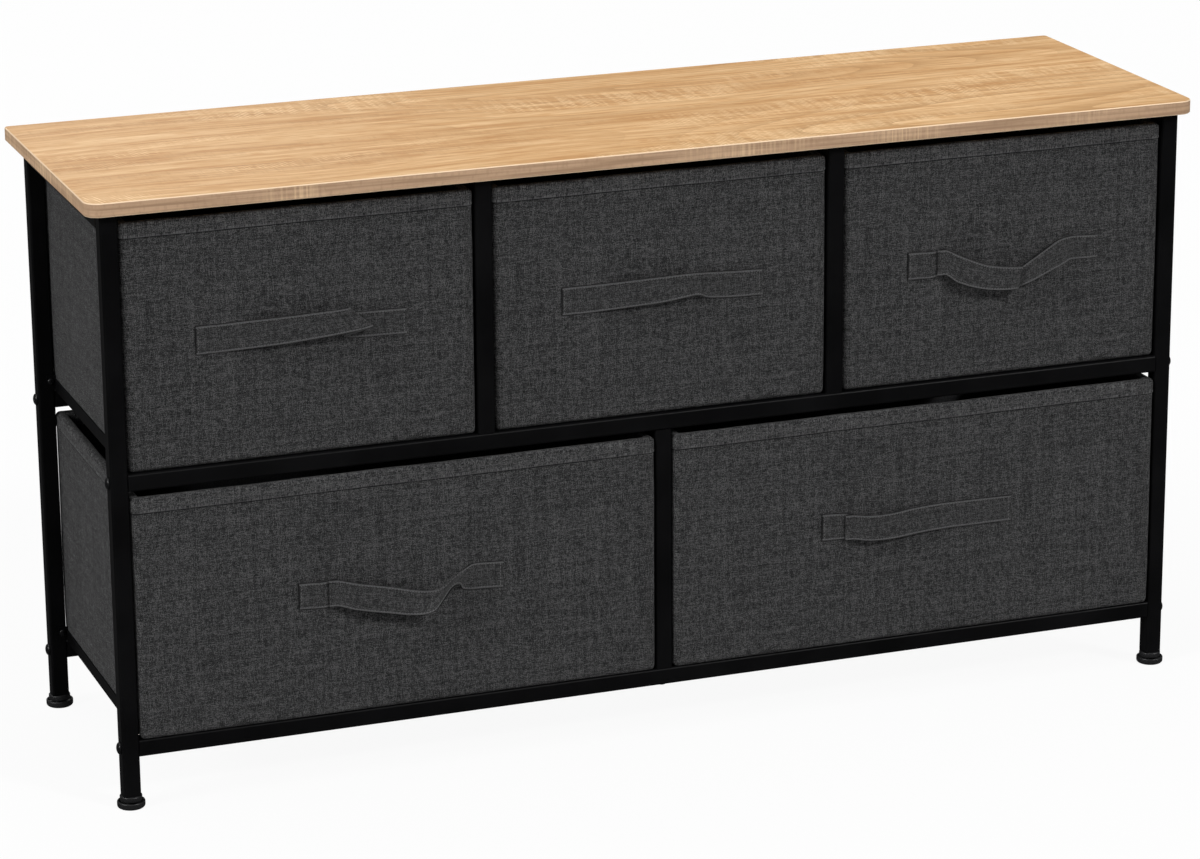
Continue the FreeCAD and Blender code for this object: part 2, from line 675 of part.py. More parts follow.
def make_wall_boards(bay):
    """The four stiff boards that stand in a drawer's walls, with their tops under the hem."""
    height = f"{bay.drawer_height} - 2 * {BOARD_INSET}"
    thickness = "Sizes.StiffenerThickness"
    half_width = f"({bay.drawer_width} / 2 - {BOARD_INSET})"
    half_depth = f"({DRAWER_DEPTH} / 2 - {BOARD_INSET})"
    side_half = f"({half_depth} - {thickness} - Sizes.BoardPlay)"
    pieces = []
    for name, start_y in (("Front", f"-{half_depth}"), ("Back", f"{half_depth} - {thickness}")):
        piece = board(f"{name}Board_{bay.name}", f"2 * {half_width}", thickness, height)
        place(piece, f"-{half_width}", start_y, BOARD_INSET)
        pieces.append(piece)
    for name, start_x in (("Left", f"-{half_width}"), ("Right", f"{half_width} - {thickness}")):
        piece = board(f"{name}Board_{bay.name}", thickness, f"2 * {side_half}", height)
        place(piece, start_x, f"-{side_half}", BOARD_INSET)
        pieces.append(piece)
    group = doc.addObject("Part::Compound", f"WallBoards_{bay.name}")
    group.Links = pieces
    drawer_place(bay, group)
    finish(group, f"{bay.name}_drawer_wall_boards")


def make_bottom_board(bay):
    """The loose board that lies on the cover's floor and passes the mouth of the drawer."""
    half_width = f"({bay.drawer_width} / 2 - {WALL_BUILD} - Sizes.BoardPlay)"
    half_depth = f"({DRAWER_DEPTH} / 2 - {WALL_BUILD} - Sizes.BoardPlay)"
    panel = board(
        f"Bottom_{bay.name}", f"2 * {half_width}", f"2 * {half_depth}", "Sizes.BottomPanel"
    )
    middle_y = f"({bay.front_y} + {DRAWER_DEPTH} / 2)"
    place(
        panel,
        f"{bay.centre} - {half_width}",
        f"{middle_y} - {half_depth}",
        f"{bay.drawer_z} + Sizes.FabricThickness",
    )
    finish(panel, f"{bay.name}_drawer_bottom_board")


def add_arc(sketch, half_span, chord_v, sag, prefix):
    """An arc that hangs below a chord centred on the second axis; returns its index."""
    span = number(half_span)
    chord = number(chord_v)
    drop = number(sag)
    ends = Vector(-span, chord, 0), Vector(span, chord, 0)
    arc = Part.Arc(ends[0], Vector(0, chord - drop, 0), ends[1])
    index = sketch.addGeometry(arc, False)
    radius = f"((({half_span}) ^ 2 + ({sag}) ^ 2) / (2 * ({sag})))"
    wanted = (
        ("DistanceX", "X", 1, f"-({half_span})"),
        ("DistanceY", "Y", 1, chord_v),
        ("DistanceX", "EndX", 2, half_span),
        ("DistanceY", "EndY", 2, chord_v),
    )
    for kind, name, end, expression in wanted:
        made = sketch.addConstraint(
            Sketcher.Constraint(kind, -1, 1, index, end, number(expression))
        )
        bind(sketch, made, f"{prefix}{name}", expression)
    made = sketch.addConstraint(Sketcher.Constraint("Radius", index, number(radius)))
    bind(sketch, made, f"{prefix}Radius", radius)
    return index


def add_chain(sketch, arc, corners, prefix):
    """Closes an outline from an arc's end through corners back to the arc's start."""
    points = [Vector(number(u), number(v), 0) for u, v in corners]
    shape = sketch.Geometry[arc]
    path = [shape.EndPoint, *points, shape.StartPoint]
    first = sketch.GeometryCount
    for start, end in zip(path, path[1:]):
        sketch.addGeometry(Part.LineSegment(start, end), False)
    last = sketch.GeometryCount - 1
    for line in range(first, last):
        sketch.addConstraint(Sketcher.Constraint("Coincident", line, 2, line + 1, 1))
    sketch.addConstraint(Sketcher.Constraint("Coincident", arc, 2, first, 1))
    sketch.addConstraint(Sketcher.Constraint("Coincident", last, 2, arc, 1))
    for number_of, (u, v) in enumerate(corners):
        for kind, axis, expression in (("DistanceX", "U", u), ("DistanceY", "V", v)):
            made = sketch.addConstraint(
                Sketcher.Constraint(kind, -1, 1, first + number_of, 2, number(expression))
            )
            bind(sketch, made, f"{prefix}{axis}{number_of}", expression)


def make_strap(bay):
    """A webbing handle: ends sewn flat on the front, the middle standing off and hanging."""
    end = "(Sizes.StrapSpan / 2)"
    inner = f"({end} - Sizes.StrapTab)"
    half = "(Sizes.StrapWidth / 2)"
    low = f"({half} + Sizes.StrapDroop)"
    thickness = "Sizes.StrapThickness"
    body = doc.addObject("PartDesign::Body", f"Strap_{bay.name}")
    plan = new_sketch(body, "Plan", offset=f"-({low}) - {thickness}")
    outer = add_arc(plan, inner, f"-{thickness}", "Sizes.StrapStandOff", "Outer")
    tabs = (
        (end, f"-{thickness}"),
        (end, "0"),
        (f"-{end}", "0"),
        (f"-{end}", f"-{thickness}"),
    )
    add_chain(plan, outer, tabs, "Tab")
    add_pad(body, plan, f"{low} + {thickness} + {half}")
    finger = new_sketch(body, "FingerGap", offset=f"-({low}) - {thickness}")
    gap = add_arc(finger, inner, "0", "Sizes.StrapStandOff", "Gap")
    add_chain(finger, gap, (), "Gap")
    add_pocket(body, finger, name="FingerGapCut")
    above = new_sketch(body, "Above", "XZ_Plane")
    upper = add_arc(above, inner, half, "Sizes.StrapDroop", "Upper")
    add_chain(above, upper, (), "Upper")
    add_pocket(body, above, name="AboveCut")
    below = new_sketch(body, "Below", "XZ_Plane")
    lower = add_arc(below, inner, f"-{half}", "Sizes.StrapDroop", "Lower")
    floor = f"-({low}) - 2 * {thickness}"
    waste = (
        (f"{end} + {thickness}", f"-{half}"),
        (f"{end} + {thickness}", floor),
        (f"-({end} + {thickness})", floor),
        (f"-({end} + {thickness})", f"-{half}"),
    )
    add_chain(below, lower, waste, "Waste")
    add_pocket(body, below, name="BelowCut")
    middle_z = f"{bay.drawer_z} + {bay.drawer_height} / 2"
    place(body, bay.centre, bay.front_y, f"{middle_z} + Sizes.StrapLift")
    finish(body, f"{bay.name}_strap_handle")


def check_model():
    """Stops when an object is in error or a piece has no valid solid."""
    doc.recompute()
    for thing in doc.Objects:
        if "Invalid" in thing.State or "Error" in thing.State:
            raise RuntimeError(f"{thing.Label} is in state {thing.State}")
    for piece in finished:
        shape = piece.Shape
        if shape.isNull() or not shape.isValid() or not shape.Solids:
            raise RuntimeError(f"{piece.Label} has no valid solid")


def export():
    """Writes every piece to its own STEP file."""
    os.makedirs("parts", exist_ok=True)
    for piece in finished:
        piece.Shape.exportStep(f"parts/{piece.Label}.step")


def main():
    """Builds the frame, its fasteners and feet, the runners and the five drawers."""
    fill_sheet()
    make_board()
    make_posts()
    make_rails()
    make_top_bars()
    make_dividers()
    make_post_bolts()
    make_rail_inserts()
    make_divider_inserts()
    make_divider_screws()
    make_foot_sockets()
    make_levelling_feet()
    for bay in BAYS:
        for side in SIDES:
            make_runner(bay, side)
        make_drawer_cover(bay)
        make_wall_boards(bay)
        make_bottom_board(bay)
        make_strap(bay)
    check_model()
    export()


main()
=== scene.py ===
"""Dresses the fabric drawer dresser: an oak top, a black tube frame and five cloth drawers.

Lengths are in metres. X runs along the width, Y towards the back and Z upwards.
"""

import json
import logging
import math
from dataclasses import dataclass, field
from enum import Enum
from typing import Sequence

import bmesh
import bpy
import numpy as np
from mathutils import Matrix, Vector

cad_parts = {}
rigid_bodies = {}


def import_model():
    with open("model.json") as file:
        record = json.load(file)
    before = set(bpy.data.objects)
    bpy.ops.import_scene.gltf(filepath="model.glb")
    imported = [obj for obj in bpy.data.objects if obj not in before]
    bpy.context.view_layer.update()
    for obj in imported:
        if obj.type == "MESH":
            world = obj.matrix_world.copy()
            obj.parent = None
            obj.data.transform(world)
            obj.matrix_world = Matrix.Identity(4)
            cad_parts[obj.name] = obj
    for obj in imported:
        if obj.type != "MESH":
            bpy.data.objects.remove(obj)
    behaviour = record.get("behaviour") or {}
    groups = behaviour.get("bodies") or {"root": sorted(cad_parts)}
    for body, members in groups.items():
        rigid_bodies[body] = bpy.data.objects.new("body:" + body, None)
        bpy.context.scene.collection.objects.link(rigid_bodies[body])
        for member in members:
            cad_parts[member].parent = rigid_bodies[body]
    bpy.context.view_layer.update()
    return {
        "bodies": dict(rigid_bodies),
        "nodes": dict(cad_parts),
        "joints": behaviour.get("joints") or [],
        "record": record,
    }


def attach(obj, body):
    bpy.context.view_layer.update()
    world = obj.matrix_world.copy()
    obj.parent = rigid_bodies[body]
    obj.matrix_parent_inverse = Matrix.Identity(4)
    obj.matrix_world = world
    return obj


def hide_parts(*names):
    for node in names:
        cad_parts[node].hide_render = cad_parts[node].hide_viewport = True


LOG = logging.getLogger("dresser")
MM = 0.001
WHITE = (1.0, 1.0, 1.0)
UPWARDS = (0.0, 0.0, 1.0)
DOWNWARDS = (0.0, 0.0, -1.0)
Pair = tuple[float, float]
Triple = tuple[float, float, float]
Spot = tuple[Triple, Triple]
Shape = tuple[np.ndarray, np.ndarray]
Socket = bpy.types.NodeSocket
Piece = bpy.types.Object


class Slot(Enum):
    """The material slots of the record."""

    OAK = "oak_board"
    FRAME = "black_frame"
    FASTENERS = "black_fasteners"
    STEEL = "plated_steel"
    PLASTIC = "black_plastic"
    CLOTH = "charcoal_fabric"
    LINING = "lined_board"
    WEBBING = "charcoal_webbing"


class Bay(Enum):
    """The five drawers, by the place of each in the case."""

    TOP_LEFT = "top_left"
    TOP_MIDDLE = "top_middle"
    TOP_RIGHT = "top_right"
    BOTTOM_LEFT = "bottom_left"
    BOTTOM_RIGHT = "bottom_right"


# ---------------------------------------------------------------- materials


class NodeGraph:
    """The node tree of a material or a world, with short calls that add nodes and link them."""

    def __init__(self, owner: bpy.types.Material | bpy.types.World) -> None:
        """Starts an empty tree.

        Args:
            owner: The material or world.
        """
        self.owner = owner
        owner.use_nodes = True
        self.tree = owner.node_tree
        self.tree.nodes.clear()

    @classmethod
    def of_material(cls, name: str) -> "NodeGraph":
        """The graph of a new material."""
        return cls(bpy.data.materials.new(name))

    def put(self, socket: Socket, value: object) -> None:
        """Sets a socket to a number or colour, or links it to another socket.

        Args:
            socket: The input to fill.
            value: A number, a colour of three numbers, or an output socket.
        """
        if isinstance(value, bpy.types.NodeSocket):
            self.tree.links.new(value, socket)
        elif isinstance(value, tuple) and socket.type == "RGBA":
            socket.default_value = (*value, 1.0)
        else:
            socket.default_value = value

    def node(self, kind: str, **inputs: object) -> bpy.types.Node:
        """Adds a node and fills the inputs whose names are given.

        Args:
            kind: The node's type without the leading ShaderNode.
            **inputs: Values by input name, with underscores for blanks.

        Returns:
            The new node.
        """
        made = self.tree.nodes.new("ShaderNode" + kind)
        for name, value in inputs.items():
            self.put(made.inputs[name.replace("_", " ")], value)
        return made

    def math(self, operation: str, *values: object, kind: str = "Math") -> Socket:
        """Adds a Math node.

        Args:
            operation: The operation's name.
            *values: Numbers or sockets, in order.
            kind: The node's type, which is VectorMath for vectors.

        Returns:
            The result's socket.
        """
        made = self.node(kind)
        made.operation = operation
        for socket, value in zip(made.inputs, values):
            self.put(socket, value)
        return made.outputs[0]

    def noise(
        self, vector: Socket, scale: float | Triple, detail: float = 2.0, swirl: float = 0.0
    ) -> Socket:
        """Adds noise on a stretched vector.

        Args:
            vector: The vector's socket.
            scale: Cycles per metre, or those along each axis.
            detail: Octaves of finer noise.
            swirl: How far the noise is distorted.

        Returns:
            The noise value, from 0 to 1.
        """
        cycles = (scale, scale, scale) if isinstance(scale, float) else scale
        place = self.math("MULTIPLY", vector, cycles, kind="VectorMath")
        made = self.node("TexNoise", Vector=place, Scale=1.0, Detail=detail, Distortion=swirl)
        return made.outputs["Fac"]

    def ramp(self, value: Socket, stops: Sequence[tuple[float, Triple]]) -> Socket:
        """Adds a colour ramp.

        Args:
            value: The place on the ramp.
            stops: Positions with their linear colours.

        Returns:
            The colour's socket.
        """
        made = self.node("ValToRGB", Fac=value)
        elements = made.color_ramp.elements
        while len(elements) < len(stops):
            elements.new(0.5)
        for element, (position, colour) in zip(elements, stops):
            element.position = position
            element.color = (*colour, 1.0)
        return made.outputs["Color"]

    def span(self, value: Socket, low: float, high: float, to: Pair = (0.0, 1.0)) -> Socket:
        """Maps a range of values onto another, held at its ends.

        Args:
            value: The value's socket.
            low: The value that gives the first result.
            high: The value that gives the second result.
            to: The two results.

        Returns:
            The mapped value.
        """
        ends = {"From_Min": low, "From_Max": high, "To_Min": to[0], "To_Max": to[1]}
        return self.node("MapRange", Value=value, **ends).outputs[0]

    def mix(self, kind: str, factor: object, first: object, second: object) -> Socket:
        """Mixes two colours.

        Args:
            kind: The blend type, such as MIX or MULTIPLY.
            factor: How much of the second is used.
            first: The first colour.
            second: The second colour.

        Returns:
            The mixed colour.
        """
        made = self.node("Mix")
        made.data_type = "RGBA"
        made.blend_type = kind
        for number, value in ((0, factor), (6, first), (7, second)):
            self.put(made.inputs[number], value)
        return made.outputs[2]

    def veil(
        self, colour: Socket, tint: Triple, value: Socket, ends: Pair, share: float, kind: str = "MIX"
    ) -> Socket:
        """Lays a tint over a colour, the more the further a value has gone between two ends.

        Args:
            colour: The colour below.
            tint: The tint.
            value: The value's socket.
            ends: The values where the tint starts and where it has its full share.
            share: The full share.
            kind: The blend type.

        Returns:
            The tinted colour.
        """
        return self.mix(kind, self.span(value, *ends, (0.0, share)), colour, tint)

    def bump(self, height: Socket, distance: float, strength: float) -> Socket:
        """Adds a bump whose height of one is the distance, and gives its normal."""
        return self.node("Bump", Height=height, Strength=strength, Distance=distance).outputs[0]

    def coordinates(self, kind: str = "Object") -> Socket:
        """Object coordinates, which are the dresser's own, or UV, which is laid out in metres."""
        return self.node("TexCoord").outputs[kind]

    def end(self, kind: str, shader: bpy.types.Node) -> bpy.types.Material | bpy.types.World:
        """Links a shader to a new output.

        Args:
            kind: Which output: Material or World.
            shader: The shader's node.

        Returns:
            The material or world.
        """
        self.put(self.node("Output" + kind).inputs[0], shader.outputs[0])
        return self.owner

    def finish(self, **inputs: object) -> bpy.types.Material:
        """Ends a material with a Principled shader whose inputs are given by name."""
        return self.end("Material", self.node("BsdfPrincipled", **inputs))


@dataclass(frozen=True)
class OakLaminate:
    """Light oak foil: flowing bands, fine streaks, arched figure and pale saw marks."""

    pale: Triple = (0.650, 0.415, 0.207)
    middle: Triple = (0.580, 0.347, 0.158)
    dark: Triple = (0.500, 0.284, 0.122)
    ring: Triple = (0.400, 0.218, 0.084)
    streak: Triple = (0.82, 0.71, 0.56)
    fibre: Triple = (0.83, 0.71, 0.56)
    edge_pale: Triple = (0.430, 0.280, 0.172)
    edge_dark: Triple = (0.290, 0.180, 0.105)
    # Painted highlight: the pale colour of the bevel between the top and the edge.
    painted_bevel_highlight: Triple = (0.690, 0.520, 0.350)
    saw_mark: Triple = (0.860, 0.620, 0.360)
    saw_pitch: float = 3.8 * MM
    saw_lean: float = 0.35
    rings_per_hill: float = 17.0

    def figure(self, graph: NodeGraph, place: Socket) -> Socket:
        """The wood figure of the upper face.

        Bands and streaks are noise that is drawn out along X. The arches are growth rings:
        the part after the point of a long noise hill, so each ring darkens slowly and ends
        sharply. Ticks cross the darker bands, and saw marks are pale lines across the grain
        inside long patches.

        Args:
            graph: The material's graph.
            place: The Object coordinates.

        Returns:
            The colour.
        """
        sway = graph.noise(place, (2.6, 7.0, 1.0), 1.0)
        shift = graph.node("CombineXYZ", Y=graph.math("MULTIPLY", sway, 0.045))
        flow = graph.math("ADD", place, shift.outputs[0], kind="VectorMath")
        bands = graph.noise(flow, (1.8, 34.0, 1.0), 4.0, 0.5)
        streaks = graph.noise(flow, (9.0, 190.0, 1.0), 4.0)
        fibres = graph.noise(flow, (44.0, 460.0, 1.0), 3.0)
        colour = graph.ramp(bands, ((0.28, self.dark), (0.45, self.middle), (0.60, self.pale)))
        colour = graph.veil(colour, self.streak, streaks, (0.50, 0.64), 0.85, "MULTIPLY")
        colour = graph.veil(colour, self.saw_mark, streaks, (0.46, 0.32), 0.40)
        colour = graph.veil(colour, self.fibre, fibres, (0.50, 0.64), 0.85, "MULTIPLY")
        hill = graph.noise(flow, (2.3, 11.0, 1.0), 0.0)
        ring = graph.math("FRACT", graph.math("MULTIPLY", hill, self.rings_per_hill))
        ring_patch = graph.span(graph.noise(place, (1.5, 6.0, 1.0), 0.0), 0.44, 0.56, (0.0, 0.75))
        ring_fade = graph.math("MULTIPLY", graph.math("POWER", ring, 2.2), ring_patch)
        colour = graph.mix("MIX", ring_fade, colour, self.ring)
        ticks = graph.span(graph.noise(place, (360.0, 55.0, 1.0), 1.0), 0.50, 0.70, (0.0, 0.34))
        tick_band = graph.span(bands, 0.50, 0.38)
        colour = graph.mix("MIX", graph.math("MULTIPLY", ticks, tick_band), colour, self.ring)
        pores = graph.noise(flow, (60.0, 900.0, 1.0), 1.0)
        colour = graph.veil(colour, self.dark, pores, (0.56, 0.74), 0.45)
        axes = graph.node("SeparateXYZ", Vector=place).outputs
        along = graph.math("MULTIPLY_ADD", axes[1], self.saw_lean, axes[0])
        wander = graph.math("MULTIPLY_ADD", sway, 0.030, along)
        saw = graph.math("SINE", graph.math("MULTIPLY", wander, math.tau / self.saw_pitch))
        broken = graph.span(graph.noise(place, (230.0, 30.0, 1.0), 1.0), 0.40, 0.62)
        saw_patch = graph.span(graph.noise(place, (4.5, 22.0, 1.0), 1.0), 0.53, 0.66)
        saw_line = graph.math("MULTIPLY", graph.span(saw, 0.1, 0.9, (0.0, 0.85)), saw_patch)
        return graph.mix("MIX", graph.math("MULTIPLY", saw_line, broken), colour, self.saw_mark)

    def edging(self, graph: NodeGraph, place: Socket) -> Socket:
        """The edge band's colour: long thin streaks, with faint upright marks across them.

        Args:
            graph: The material's graph.
            place: The Object coordinates.

        Returns:
            The colour.
        """
        streaks = graph.noise(place, (8.0, 8.0, 420.0), 3.0)
        colour = graph.ramp(streaks, ((0.34, self.edge_dark), (0.60, self.edge_pale)))
        flecks = graph.noise(place, (300.0, 300.0, 140.0), 2.0)
        colour = graph.veil(colour, self.edge_dark, flecks, (0.50, 0.68), 0.45)
        upright = graph.span(graph.noise(place, (420.0, 420.0, 12.0), 2.0), 0.45, 0.65)
        patch = graph.span(graph.noise(place, 9.0, 1.0), 0.50, 0.66, (0.0, 0.5))
        return graph.mix("MIX", graph.math("MULTIPLY", upright, patch), colour, self.saw_mark)

    def build(self) -> bpy.types.Material:
        """Builds the material.

        The direction that a face looks in picks the foil, a painted highlight on the bevel, or the edge
        band.

        Returns:
            The material.
        """
        graph = NodeGraph.of_material("oak_laminate")
        place = graph.coordinates()
        facing = graph.node("NewGeometry").outputs["True Normal"]
        steep = graph.math("ABSOLUTE", graph.node("SeparateXYZ", Vector=facing).outputs[2])
        # The bevel's pale colour is a painted highlight along the board's edges.
        side = graph.veil(self.edging(graph, place), self.painted_bevel_highlight, steep, (0.45, 0.65), 1.0)
        level = graph.span(steep, 0.80, 0.95)
        fibres = graph.noise(place, (30.0, 1100.0, 400.0), 2.0)
        return graph.finish(
            Base_Color=graph.mix("MIX", level, side, self.figure(graph, place)),
            Roughness=graph.span(fibres, 0.2, 0.8, (0.40, 0.54)),
            Specular_IOR_Level=0.42,
            Normal=graph.bump(fibres, 0.12 * MM, 0.5),
        )


@dataclass(frozen=True)
class CloudedFinish:
    """A plain finish: shades of one colour that drift like clouds, over a skin of fine bumps.

    The colour's shades lie at two stops of the clouds. A range of roughness follows the
    clouds, or the skin if so told.
    """

    name: str
    colour: Triple
    shades: Pair
    stops: Pair
    cloud: tuple[float, float]
    skin: tuple[float | Triple, float]
    bumps: Pair
    roughness: float | Pair
    gloss: float = 0.5
    metallic: float = 0.0
    rough_by_skin: bool = False

    def build(self) -> bpy.types.Material:
        """Builds the material.

        Returns:
            The material.
        """
        graph = NodeGraph.of_material(self.name)
        place = graph.coordinates()
        cloud = graph.noise(place, *self.cloud)
        skin = graph.noise(place, *self.skin)
        tones = [tuple(value * shade for value in self.colour) for shade in self.shades]
        rough = self.roughness
        if isinstance(rough, tuple):
            rough = graph.span(skin if self.rough_by_skin else cloud, 0.3, 0.7, rough)
        return graph.finish(
            Base_Color=graph.ramp(cloud, list(zip(self.stops, tones))),
            Metallic=self.metallic,
            Roughness=rough,
            Specular_IOR_Level=self.gloss,
            Normal=graph.bump(skin, *self.bumps),
        )


def powder_coat(name: str, colour: Triple, roughness: Pair, gloss: float) -> CloudedFinish:
    """Satin black coat with a fine orange-peel skin and faintly rubbed patches."""
    clouds = ((1.0, 1.7), (0.35, 0.75), (16.0, 3.0))
    return CloudedFinish(name, colour, *clouds, (750.0, 2.0), (0.06 * MM, 0.55), roughness, gloss)


def moulded_plastic() -> CloudedFinish:
    """Black moulded plastic with a fine spark texture.

    Returns:
        The finish.
    """
    black = (0.0070, 0.0070, 0.0076)
    clouds = ((1.0, 1.8), (0.35, 0.8), (60.0, 2.0))
    skin = ((1900.0, 2.0), (0.04 * MM, 0.5), (0.36, 0.50), 0.32)
    return CloudedFinish("black_moulded_plastic", black, *clouds, *skin, rough_by_skin=True)


def plated_steel() -> CloudedFinish:
    """Bright zinc plate with drawn lines and dull patches.

    Returns:
        The finish.
    """
    clouds = ((0.72, 1.0), (0.3, 0.7), (180.0, 4.0))
    lines = (((90.0, 2400.0, 2400.0), 2.0), (0.03 * MM, 0.5), (0.26, 0.42))
    return CloudedFinish("zinc_plate", (0.58, 0.60, 0.62), *clouds, *lines, metallic=1.0)


def sewing_thread() -> CloudedFinish:
    """Twisted polyester thread, a little paler than the cloth."""
    twist = ((0.55, 1.0), (0.35, 0.65), (2600.0, 1.0), (2600.0, 1.0), (0.08 * MM, 0.6))
    return CloudedFinish("grey_thread", (0.105, 0.105, 0.107), *twist, 0.62, 0.3)


@dataclass(frozen=True)
class ToneStep:
    """A change of the cloth's tone over a short way, with both places in millimetres."""

    start: float
    end: float
    before: float
    after: float


@dataclass(frozen=True)
class HeatheredCloth:
    """Charcoal linen-look cloth: slubby threads of many greys woven one over one.

    Tone steps are bands of painted highlight and painted shade at folds and seams: up the map, to both
    sides of its middle line, and along it.
    """

    name: str
    dark: Triple
    middle: Triple
    light: Triple
    painted_light_up: tuple[ToneStep, ...] = ()
    painted_light_aside: tuple[ToneStep, ...] = ()
    painted_shade_along: tuple[ToneStep, ...] = ()
    warp_pitch: float = 0.66 * MM
    weft_pitch: float = 0.74 * MM
    slub: float = 240.0

    def threads(
        self, graph: NodeGraph, count: Socket, travel: Socket, seed: float
    ) -> tuple[Socket, Socket]:
        """One set of threads: a tone that drifts along each thread and jumps between them.

        Args:
            graph: The material's graph.
            count: Distance across the threads, in threads.
            travel: Distance along them, in metres.
            seed: Where the noise is read.

        Returns:
            The tone, and the round height of the threads: the sine of half a turn.
        """
        number = graph.math("MULTIPLY", graph.math("FLOOR", count), 1.37)
        drift = graph.math("MULTIPLY", travel, self.slub)
        place = graph.node("CombineXYZ", X=number, Y=drift, Z=seed).outputs[0]
        tone = graph.node("TexNoise", Vector=place, Scale=1.0, Detail=2.0).outputs["Fac"]
        ridge = graph.math("SINE", graph.math("MULTIPLY", graph.math("FRACT", count), math.pi))
        return tone, ridge

    def build(self) -> bpy.types.Material:
        """Builds the material on the piece's own UV map, which is laid out in metres.

        Where the sum of the two thread numbers is odd the warp lies on top, and elsewhere the
        weft does. Grain and faint columns and rows lie over the threads' own tones. The
        weights of all of them add up to one, so the mean tone stays a half.

        Returns:
            The material.
        """
        graph = NodeGraph.of_material(self.name)
        flat = graph.coordinates("UV")
        along, up, _ = graph.node("SeparateXYZ", Vector=flat).outputs
        ends = graph.math("DIVIDE", along, self.warp_pitch)
        picks = graph.math("DIVIDE", up, self.weft_pitch)
        warp, warp_ridge = self.threads(graph, ends, up, 3.5)
        weft, weft_ridge = self.threads(graph, picks, along, 8.5)
        number = graph.math("ADD", graph.math("FLOOR", ends), graph.math("FLOOR", picks))
        above = graph.math("PINGPONG", number, 1.0)
        tone = graph.math("MULTIPLY_ADD", graph.math("SUBTRACT", warp, weft), above, weft)
        ridge = graph.math("SUBTRACT", warp_ridge, weft_ridge)
        height = graph.math("MULTIPLY_ADD", ridge, above, weft_ridge)
        grain = graph.noise(flat, (1100.0, 1100.0, 1.0), 1.0)
        columns = graph.noise(flat, (230.0, 6.0, 1.0), 1.0)
        rows = graph.noise(flat, (9.0, 260.0, 1.0), 1.0)
        blend = graph.math("MULTIPLY", graph.math("ADD", columns, rows), 0.07)
        for layer, weight in ((tone, 0.52), (grain, 0.34)):
            blend = graph.math("MULTIPLY_ADD", layer, weight, blend)
        # The tone steps below add painted highlights and painted shade at folds and seams.
        aside = graph.math("ABSOLUTE", up)
        marks = ((up, self.painted_light_up), (aside, self.painted_light_aside), (along, self.painted_shade_along))
        for place, steps in marks:
            for step in steps:
                change = (step.before, step.after)
                blend = graph.math("ADD", blend, graph.span(place, step.start * MM, step.end * MM, change))
        lumps = graph.math("MULTIPLY_ADD", height, 0.35, blend)
        return graph.finish(
            Base_Color=graph.ramp(blend, ((0.405, self.dark), (0.50, self.middle), (0.605, self.light))),
            Roughness=0.94,
            Specular_IOR_Level=0.08,
            Sheen_Weight=0.03,
            Sheen_Roughness=0.45,
            Normal=graph.bump(lumps, 0.45 * MM, 0.65),
        )


def cover_cloth() -> HeatheredCloth:
    """The covers' cloth: a painted highlight in a pale line just above the hem's seam, painted shadow in a
    dark line just under it, and a faintly paler strip above.

    Returns:
        The finish.
    """
    # Painted light on the hem: a pale highlight line over the ridge above the seam, a dark painted shadow
    # line under the seam, and a faintly paler strip from 0 to 14 mm.
    hem = (
        ToneStep(0.0, 0.3, 0.0, 0.018),
        ToneStep(-1.5, -1.0, 0.0, -0.13),
        ToneStep(-0.3, 0.1, 0.0, 0.20),
        ToneStep(0.9, 1.3, 0.0, -0.07),
        ToneStep(9.0, 14.0, 0.0, -0.018),
    )
    tones = ((0.0072, 0.0072, 0.0074), (0.0272, 0.0272, 0.0276), (0.0830, 0.0830, 0.0840))
    return HeatheredCloth("charcoal_cloth", *tones, painted_light_up=hem)


def strap_cloth() -> HeatheredCloth:
    """The straps' cloth: a painted highlight along the folded edges, and painted shade on the rims and the
    first end.

    Returns:
        The finish.
    """
    # Painted light on the strap: a pale painted highlight along both folded edges, then painted shade on
    # the rims past them.
    edges = (ToneStep(10.4, 10.9, 0.0, 0.16), ToneStep(11.8, 12.2, 0.0, -0.38))
    # Painted shade on the strap's first end.
    end = (ToneStep(0.3, 0.8, -0.30, 0.0),)
    tones = ((0.0085, 0.0085, 0.0087), (0.0270, 0.0270, 0.0273), (0.0720, 0.0720, 0.0730))
    return HeatheredCloth("strap_cloth", *tones, painted_light_aside=edges, painted_shade_along=end)


@dataclass(frozen=True)
class NonWovenLining:
    """Dark spun lining over the stiff boards, pressed with a small grid of dimples."""

    colour: Triple = (0.030, 0.030, 0.032)
    pitch: float = 3.2 * MM

    def build(self) -> bpy.types.Material:
        """Builds the material.

        The dimples are the sum of three cosines, one for each axis, so that they show on
        every face. The fibres are fine noise.

        Returns:
            The material.
        """
        graph = NodeGraph.of_material("spun_lining")
        place = graph.coordinates()
        fibres = graph.noise(place, 900.0, 4.0, 1.2)
        turn = math.tau / self.pitch
        first, second, third = (
            graph.math("COSINE", graph.math("MULTIPLY", axis, turn))
            for axis in graph.node("SeparateXYZ", Vector=place).outputs
        )
        dimples = graph.math("ADD", graph.math("ADD", first, second), third)
        pressed = graph.span(dimples, 1.1, 2.1, (1.0, 0.0))
        shades = ((0.32, 0.7), (0.5, 1.0), (0.72, 1.9))
        stops = [(stop, tuple(value * shade for value in self.colour)) for stop, shade in shades]
        return graph.finish(
            Base_Color=graph.ramp(fibres, stops),
            Roughness=graph.span(pressed, 0.0, 1.0, (0.55, 0.85)),
            Specular_IOR_Level=0.3,
            Normal=graph.bump(graph.math("MULTIPLY_ADD", fibres, 0.5, pressed), 0.2 * MM, 0.6),
        )


